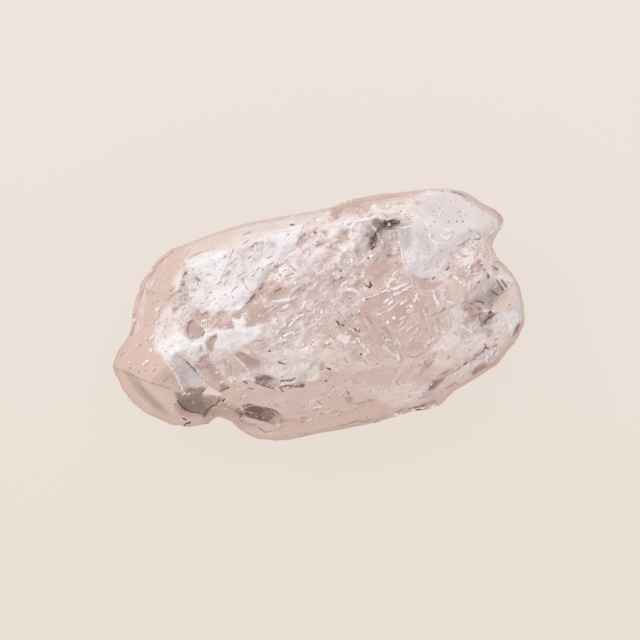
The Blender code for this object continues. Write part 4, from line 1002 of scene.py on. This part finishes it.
def shapeStone(mesh):
    place, way = pointsOf(mesh)
    setPoints(mesh, fitOutline(place))
    place, way = pointsOf(mesh)
    values, lift = paintPatches(place, way)
    frost, stain, tint, etch = values[:, 0], values[:, 1:4], values[:, 4:7], values[:, 7]
    x, y = onPlan(place)
    top = smooth(*relief["topFrom"], way[:, 2])
    rim = smooth(*relief["rim"], depthIn(outline, x, y))
    rough = smooth(*relief["etched"], etch) * smooth(*relief["bare"], frost) * top * rim
    high = breaks(place, *relief["largeBreaks"]) + breaks(place, *relief["smallBreaks"])
    high *= rough * relief["hackly"]
    middle = smooth(-relief["middleEdge"], relief["middleEdge"], depthIn(grain["middleArea"], x, y))
    left = combed(place, grain["leftAngle"], grain["stretch"])
    down = combed(place, grain["middleAngle"], grain["stretch"])
    lines = swell(left, *relief["leftLines"]) * (1 - middle) + swell(down, *relief["middleLines"]) * middle
    high += lines * relief["lineRise"] * (relief["lineLeast"] + rough)
    # the rest of the stone has faint growth lines along its length and a few shallow dents
    along = combed(place, 0, relief["growthStretch"])
    high += swell(along, *relief["growth"]) * relief["growthRise"] * (1 - rough)
    high += swell(place, *relief["dents"]) * relief["dentRise"] * (1 - top)
    high += swell(place, *relief["waves"]) * relief["waveRise"] * (1 - rough)
    place = place + way * high[:, None]
    place[:, 2] += lift * rim
    place[:, 2] = np.maximum(place[:, 2], 0)
    setPoints(mesh, place)
    store(mesh, "frost", "FLOAT", frost)
    store(mesh, "stain", "FLOAT_VECTOR", stain)
    store(mesh, "tint", "FLOAT_VECTOR", tint)
    store(mesh, "etch", "FLOAT", etch)
    store(mesh, "turned", "FLOAT", middle * top)
    addMarks(mesh, place, way)
    mesh.set_sharp_from_angle(angle=math.radians(body["sharpEdge"]))


class Link:
    # a socket that takes part in sums
    def __init__(self, tree, socket):
        self.tree, self.socket = tree, socket

    def sum(self, operation, *others, clamp=False):
        node = self.tree.nodes.new("ShaderNodeMath")
        node.operation = operation
        node.use_clamp = clamp
        for place, value in zip(node.inputs, others):
            feed(self.tree, place, value)
        return Link(self.tree, node.outputs[0])

    def highest(self, other):
        return self.sum("MAXIMUM", self, other)

    def __add__(self, other):
        return self.sum("ADD", self, other)

    def __sub__(self, other):
        return self.sum("SUBTRACT", self, other)

    def __mul__(self, other):
        return self.sum("MULTIPLY", self, other)

    def __rsub__(self, other):
        return self.sum("SUBTRACT", other, self)

    __radd__ = __add__
    __rmul__ = __mul__


def feed(tree, place, value):
    if isinstance(value, Link):
        tree.links.new(value.socket, place)
    else:
        place.default_value = value


class Recipe:
    # a material and the nodes that it is made of
    def __init__(self, name):
        self.stuff = bpy.data.materials.new(name)
        self.stuff.use_nodes = True
        self.tree = self.stuff.node_tree
        self.tree.nodes.clear()

    def add(self, kind, settings=None, feeds=None, out=0):
        node = self.tree.nodes.new("ShaderNode" + kind)
        for name, value in (settings or {}).items():
            setattr(node, name, value)
        for name, value in (feeds or {}).items():
            feed(self.tree, node.inputs[name], value)
        return Link(self.tree, node.outputs[out]) if node.outputs else None

    def attribute(self, name, out="Fac"):
        return self.add("Attribute", {"attribute_name": name}, out=out)

    def vector(self, operation, first, second=None, out=0):
        feeds = {0: first} if second is None else {0: first, 1: second}
        return self.add("VectorMath", {"operation": operation}, feeds, out)

    def scaled(self, first, much):
        return self.add("VectorMath", {"operation": "SCALE"}, {0: first, "Scale": much})

    def dot(self, first, second):
        return self.vector("DOT_PRODUCT", first, second, "Value")

    def step(self, value, low, high):
        return self.add("MapRange", {"interpolation_type": "SMOOTHSTEP"},
                        {"Value": value, "From Min": low, "From Max": high})

    def noise(self, place, scale, detail=2.0, rough=0.5, out=0):
        feeds = {"Vector": place, "Scale": scale, "Detail": detail, "Roughness": rough}
        return self.add("TexNoise", {}, feeds, out)

    def voronoi(self, place, scale, out):
        return self.add("TexVoronoi", {}, {"Vector": place, "Scale": scale}, out)

    def turned(self, place, degrees, stretch):
        return self.add("Mapping", {"vector_type": "TEXTURE"}, {
            "Vector": place, "Rotation": (0, 0, math.radians(degrees)), "Scale": (stretch, 1, 1)})

    def marks(self, place, names, soft):
        # how much of each set's mark lies at a place, from how far it is from the mark's segment
        total = None
        for name in names:
            start, end = self.attribute(name + "Start", "Color"), self.attribute(name + "End", "Color")
            half, strength = self.attribute(name + "Start", "Alpha"), self.attribute(name + "End", "Alpha")
            away, run = self.vector("SUBTRACT", place, start), self.vector("SUBTRACT", end, start)
            share = away.sum("DIVIDE", self.dot(away, run), self.dot(run, run), clamp=True)
            far = self.vector("LENGTH", self.vector("SUBTRACT", away, self.scaled(run, share)), out="Value")
            here = self.step(half - far, -soft, soft) * strength
            total = here if total is None else total.highest(here)
        return total

    def blend(self, share, first, second, kind="MIX"):
        return self.add("Mix", {"data_type": "RGBA", "blend_type": kind, "clamp_factor": True},
                        {0: share, 6: first, 7: second}, 2)

    def times(self, first, second):
        return self.blend(1.0, first, second, "MULTIPLY")

    def finish(self, surface, volume=None):
        feeds = {"Surface": surface} if volume is None else {"Surface": surface, "Volume": volume}
        self.add("OutputMaterial", {}, feeds)
        return self.stuff


# The crystal's material. Colours are linear, and scales are in waves for each mm.
gem = {
    "clear": (0.935, 0.835, 0.83, 1),
    "brownMark": (0.33, 0.165, 0.125, 1),
    "darkMark": (0.02, 0.012, 0.009, 1),
    # the pale marks' colour, near white, as they are partly painted highlights
    "paleAndHighlightMark": (1.0, 0.975, 0.985, 1),
    "shade": (0.78, 0.69, 0.67, 1),          # beside each light mark
    "shadeShift": (-0.08, 0.09, 0),          # mm
    # the two ends of the mottle: random tone, and the painted light and shade of the little faces
    "toneAndShadeDark": (0.84, 0.80, 0.81, 1),
    "toneAndShadeLight": (1.08, 1.11, 1.11, 1),
    "ior": 1.58,
    "absorb": (0.86, 0.62, 0.56, 1),
    "absorbDensity": 15,
    "veilMost": 0.92,
    "veilSoft": (0.66, 1.22),                # from how much veil it shows, and where it is whole
    "veilRoughness": 0.5,
    "glassRoughness": 0.03,
    "etchRoughness": 0.2,
    "markSoft": 0.02,                        # mm
    "shadeSoft": 0.07,
    "bumpStrength": 0.45,
    "bumpHeight": 0.00005,                   # m
    "stretch": 3.6,                          # how much longer than wide the streaks are
    "streaks": (2.4, 3.0, 0.6),              # scale, detail and roughness of each noise
    "patchy": (1.3, 2.0, 0.55),
    "hairs": (6.5, 1.0),
    "mottle": (4.5, 3.0, 0.7),
    "grit": (7.0, 2.0, 0.6),
    "worn": (6.0, 1.0),
    "bend": (2.0, 2.0),
    "wander": (5.0, 2.0),
    "wanderReach": 0.16,                     # mm
    "smallFaces": 3.2,
    "largeFaces": 1.3,
    "grains": 4.2,
    "broken": (0.2, 0.6),                    # the etching at which little faces begin, and are whole
    "smallShare": 0.6,                       # of the small faces, and the rest is the large ones
    "middle": 0.5,                           # of what a noise gives
    "streakShare": 0.6,                      # of the wisps, and the rest is patchy
    "wispsBare": 0.3,                        # how uneven the veil is, and how much more where etched
    "wispsEtched": 2.4,
    "faceShadeInVeil": 0.26,
    "hairGap": (0.56, 0.72),
    "hairMost": 0.25,
    "fleckSpread": 1.3,                      # the spread of the flecks' sizes, and how few they are
    "fleckFew": 0.88,
    "fleckMost": 0.8,
    "speckSpread": 1.6,
    "speckFew": 1.3,
    "speckMost": 0.4,
    "specksOnFaces": 0.3,                    # share of the specks on unbroken faces
    "grainEdge": 0.08,
    "wornGap": (0.32, 0.5),
    "mottleSpan": 0.6,
    "mottleLeast": 0.2,
    "faceShadeInMottle": 0.45,
    "brownFull": 0.6,                        # strength at which a dark mark is wholly brown
    "blackFrom": 0.5,                        # and from which it turns black
    "gritShare": 0.4,
}


def shadedFaces(r, place, along):
    # crisp little faces of the break, each painted a bit lighter or darker as if it were tilted to the
    # light: painted light and shade, from -1 to 1
    bent = r.vector("ADD", along, r.noise(place, *gem["bend"]))
    small = r.voronoi(bent, gem["smallFaces"], "Color")
    large = r.voronoi(bent, gem["largeFaces"], "Color")
    share = gem["smallShare"]
    return (r.dot(small, (share, 0, 0)) + r.dot(large, (0, 1 - share, 0))) * 2 - 1


def morganite():
    r = Recipe("morganite")
    place = r.scaled(r.add("TexCoord", out="Object"), 1 / mm)
    frost, tint, stain = r.attribute("frost"), r.attribute("tint", "Vector"), r.attribute("stain", "Vector")
    etch, turned = r.attribute("etch"), r.attribute("turned")
    left = r.turned(place, grain["leftAngle"], gem["stretch"])
    down = r.turned(place, grain["middleAngle"], gem["stretch"])
    along = r.add("Mix", {"data_type": "VECTOR"}, {0: turned, 4: left, 5: down}, 1)
    streaks = r.noise(along, *gem["streaks"])
    faceShade, broken = shadedFaces(r, place, along), r.step(etch, *gem["broken"])
    # the veil hides more where its attribute is high, in wisps along the grain
    wisps = streaks * gem["streakShare"] + r.noise(place, *gem["patchy"]) * (1 - gem["streakShare"])
    uneven = (wisps - gem["middle"]) * (etch * gem["wispsEtched"] + gem["wispsBare"])
    # the little faces' painted light and shade also thin or thicken the veil
    uneven = uneven + faceShade * broken * gem["faceShadeInVeil"]
    cover = r.step(uneven + 0.5 + frost, *gem["veilSoft"])
    hairs = r.step(r.noise(along, *gem["hairs"]), *gem["hairGap"])
    cover = cover * (1 - hairs * etch * gem["hairMost"])
    # pale flecks and dark specks, each a short grain of its own
    grains, chosen = r.voronoi(along, gem["grains"], "Distance"), r.voronoi(along, gem["grains"], "Color")
    flecks = r.dot(chosen, (gem["fleckSpread"], 0, 0)) - gem["fleckFew"]
    specks = r.dot(chosen, (0, gem["speckSpread"], 0)) - gem["speckFew"]
    fleck = r.step(flecks - grains, 0.0, gem["grainEdge"])
    speck = r.step(specks - grains, 0.0, gem["grainEdge"])
    # marks have ragged edges, so they are looked up a little out of place
    wander = r.vector("SUBTRACT", r.noise(place, *gem["wander"], out=1), (gem["middle"],) * 3)
    strayed = r.vector("ADD", place, r.scaled(wander, gem["wanderReach"]))
    # the placed pale marks are white lines and partly painted highlights on ledge edges
    light = r.marks(strayed, markSets["light"], gem["markSoft"])
    light = light * r.step(r.noise(place, *gem["worn"]), *gem["wornGap"])
    light = light.highest(fleck * broken * gem["fleckMost"])
    # each pale mark has a soft darker side away from the light
    beside = r.vector("ADD", strayed, gem["shadeShift"])
    shade = r.marks(beside, markSets["light"], gem["shadeSoft"]) * (1 - light)
    dark = r.marks(strayed, markSets["dark"], gem["markSoft"])
    often = broken * (1 - gem["specksOnFaces"]) + gem["specksOnFaces"]
    dark = dark.highest(speck * often * gem["speckMost"])
    cover = cover.highest(light).highest(r.step(dark, 0.0, 0.5))
    # random tone, plus the painted light and shade of the little faces; the painted shadow beside each pale
    # mark is blended in with it
    mottle = r.noise(place, *gem["mottle"]) * gem["mottleSpan"] + gem["mottleLeast"]
    mottle = mottle + faceShade * broken * gem["faceShadeInMottle"]
    toneAndShade = r.blend(shade, r.blend(mottle, gem["toneAndShadeDark"], gem["toneAndShadeLight"]), gem["shade"])
    # light goes in through one surface and out through another, so the colour counts twice here
    clear = r.times(r.times(r.times(gem["clear"], tint), tint), toneAndShade)
    matt = r.blend(light, r.times(stain, toneAndShade), gem["paleAndHighlightMark"])
    matt = r.blend(r.step(dark, 0.0, gem["brownFull"]), matt, gem["brownMark"])
    matt = r.blend(r.step(dark, gem["blackFrom"], 1.0), matt, gem["darkMark"])
    height = r.noise(place, *gem["grit"]) * gem["gritShare"] + streaks * etch
    low = r.add("Bump", {}, {
        "Strength": gem["bumpStrength"], "Distance": gem["bumpHeight"], "Height": height})
    glassy = r.add("BsdfPrincipled", {}, {
        "Base Color": clear, "Roughness": etch * gem["etchRoughness"] + gem["glassRoughness"],
        "IOR": gem["ior"], "Transmission Weight": 1.0, "Normal": low})
    frosted = r.add("BsdfPrincipled", {}, {
        "Base Color": matt, "Roughness": gem["veilRoughness"],
        "IOR": gem["ior"], "Transmission Weight": 0.0, "Normal": low})
    mixed = r.add("MixShader", {}, {0: cover * gem["veilMost"], 1: glassy, 2: frosted})
    volume = r.add("VolumeAbsorption", {}, {"Color": gem["absorb"], "Density": gem["absorbDensity"]})
    return r.finish(mixed, volume)


crystal = stoneMesh()
shapeStone(crystal.data)
crystal.data.materials.clear()
crystal.data.materials.append(morganite())
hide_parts("morganite_crystal")
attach(crystal, "root")
print("crystal done")

# The camera is straight above, turned so that the stone lies as in the picture
lens = {
    "length": 300,
    "sensor": 36,
    "sharpHeight": 7.0,      # mm above the resting face at which the picture has its size
    "clip": (0.01, 10),      # m
}


def addCamera():
    data = bpy.data.cameras.new("camera")
    data.lens = lens["length"]
    data.sensor_width = lens["sensor"]
    away = plan["pictureSide"] * lens["length"] / lens["sensor"] + lens["sharpHeight"]
    camera = bpy.data.objects.new("camera", data)
    spot = [a + b for a, b in zip(plan["middle"], plan["pictureMiddle"])]
    camera.matrix_world = (
        Matrix.Translation((spot[0] * mm, spot[1] * mm, away * mm))
        @ Matrix.Rotation(-math.radians(plan["turn"]), 4, "Z")
    )
    data.clip_start, data.clip_end = lens["clip"]
    bpy.context.scene.collection.objects.link(camera)
    bpy.context.scene.camera = camera


studio = {
    "floorSide": 3.0,                      # m
    "floorDrop": 0.00003,                  # m below the stone's resting face
    "floorFar": (0.845, 0.770, 0.712, 1),  # the floor's own glow at the top of the picture
    "floorNear": (0.815, 0.740, 0.665, 1),
    "floorBlend": 0.024,                   # m from the middle to where each is whole
    "floorGlow": 0.89,
    "floorColour": (0.10, 0.093, 0.086, 1),
    "skyLow": (0.95, 0.90, 0.875, 1),
    "skyHigh": (0.99, 0.975, 0.98, 1),
    "skyStops": (0.02, 0.75),
    "skyStrength": 0.81,
    "keySize": 0.12,                       # m
    "keyPower": 0.36,                      # W
    "keyPlace": (-0.16, 0.22, 0.28),
    "keyAim": (0, 0, 0.007),
}


def addFloor():
    r = Recipe("floor")
    half = studio["floorSide"] / 2
    data = bpy.data.meshes.new("floor")
    corners = [(-half, -half, 0), (half, -half, 0), (half, half, 0), (-half, half, 0)]
    data.from_pydata(corners, [], [(0, 1, 2, 3)])
    ground = bpy.data.objects.new("floor", data)
    ground.location.z = -studio["floorDrop"]
    bpy.context.scene.collection.objects.link(ground)
    a = math.radians(plan["turn"])
    away = r.dot(r.add("TexCoord", out="Object"), (math.sin(a), math.cos(a), 0))
    far = r.step(away, -studio["floorBlend"], studio["floorBlend"])
    data.materials.append(r.finish(r.add("BsdfPrincipled", {}, {
        "Base Color": studio["floorColour"], "Roughness": 0.9, "Specular IOR Level": 0.0,
        "Emission Color": r.blend(far, studio["floorNear"], studio["floorFar"]),
        "Emission Strength": studio["floorGlow"]})))


def addKeyLight():
    data = bpy.data.lights.new("key", "AREA")
    data.size = studio["keySize"]
    data.energy = studio["keyPower"]
    light = bpy.data.objects.new("key", data)
    light.location = studio["keyPlace"]
    way = Vector(studio["keyAim"]) - Vector(studio["keyPlace"])
    light.rotation_euler = way.to_track_quat("-Z", "Y").to_euler()
    bpy.context.scene.collection.objects.link(light)


def addSky():
    world = bpy.data.worlds.new("studio")
    bpy.context.scene.world = world
    world.use_nodes = True
    nodes, links = world.node_tree.nodes, world.node_tree.links
    where = nodes.new("ShaderNodeTexCoord")
    split = nodes.new("ShaderNodeSeparateXYZ")
    links.new(where.outputs["Generated"], split.inputs[0])
    ramp = nodes.new("ShaderNodeValToRGB")
    colours = (studio["skyLow"], studio["skyHigh"])
    for stop, position, colour in zip(ramp.color_ramp.elements, studio["skyStops"], colours):
        stop.position, stop.color = position, colour
    links.new(split.outputs["Z"], ramp.inputs[0])
    links.new(ramp.outputs[0], nodes["Background"].inputs["Color"])
    nodes["Background"].inputs["Strength"].default_value = studio["skyStrength"]


addCamera()
addFloor()
addSky()
addKeyLight()
bpy.context.scene.view_settings.view_transform = "Standard"
print("studio done")
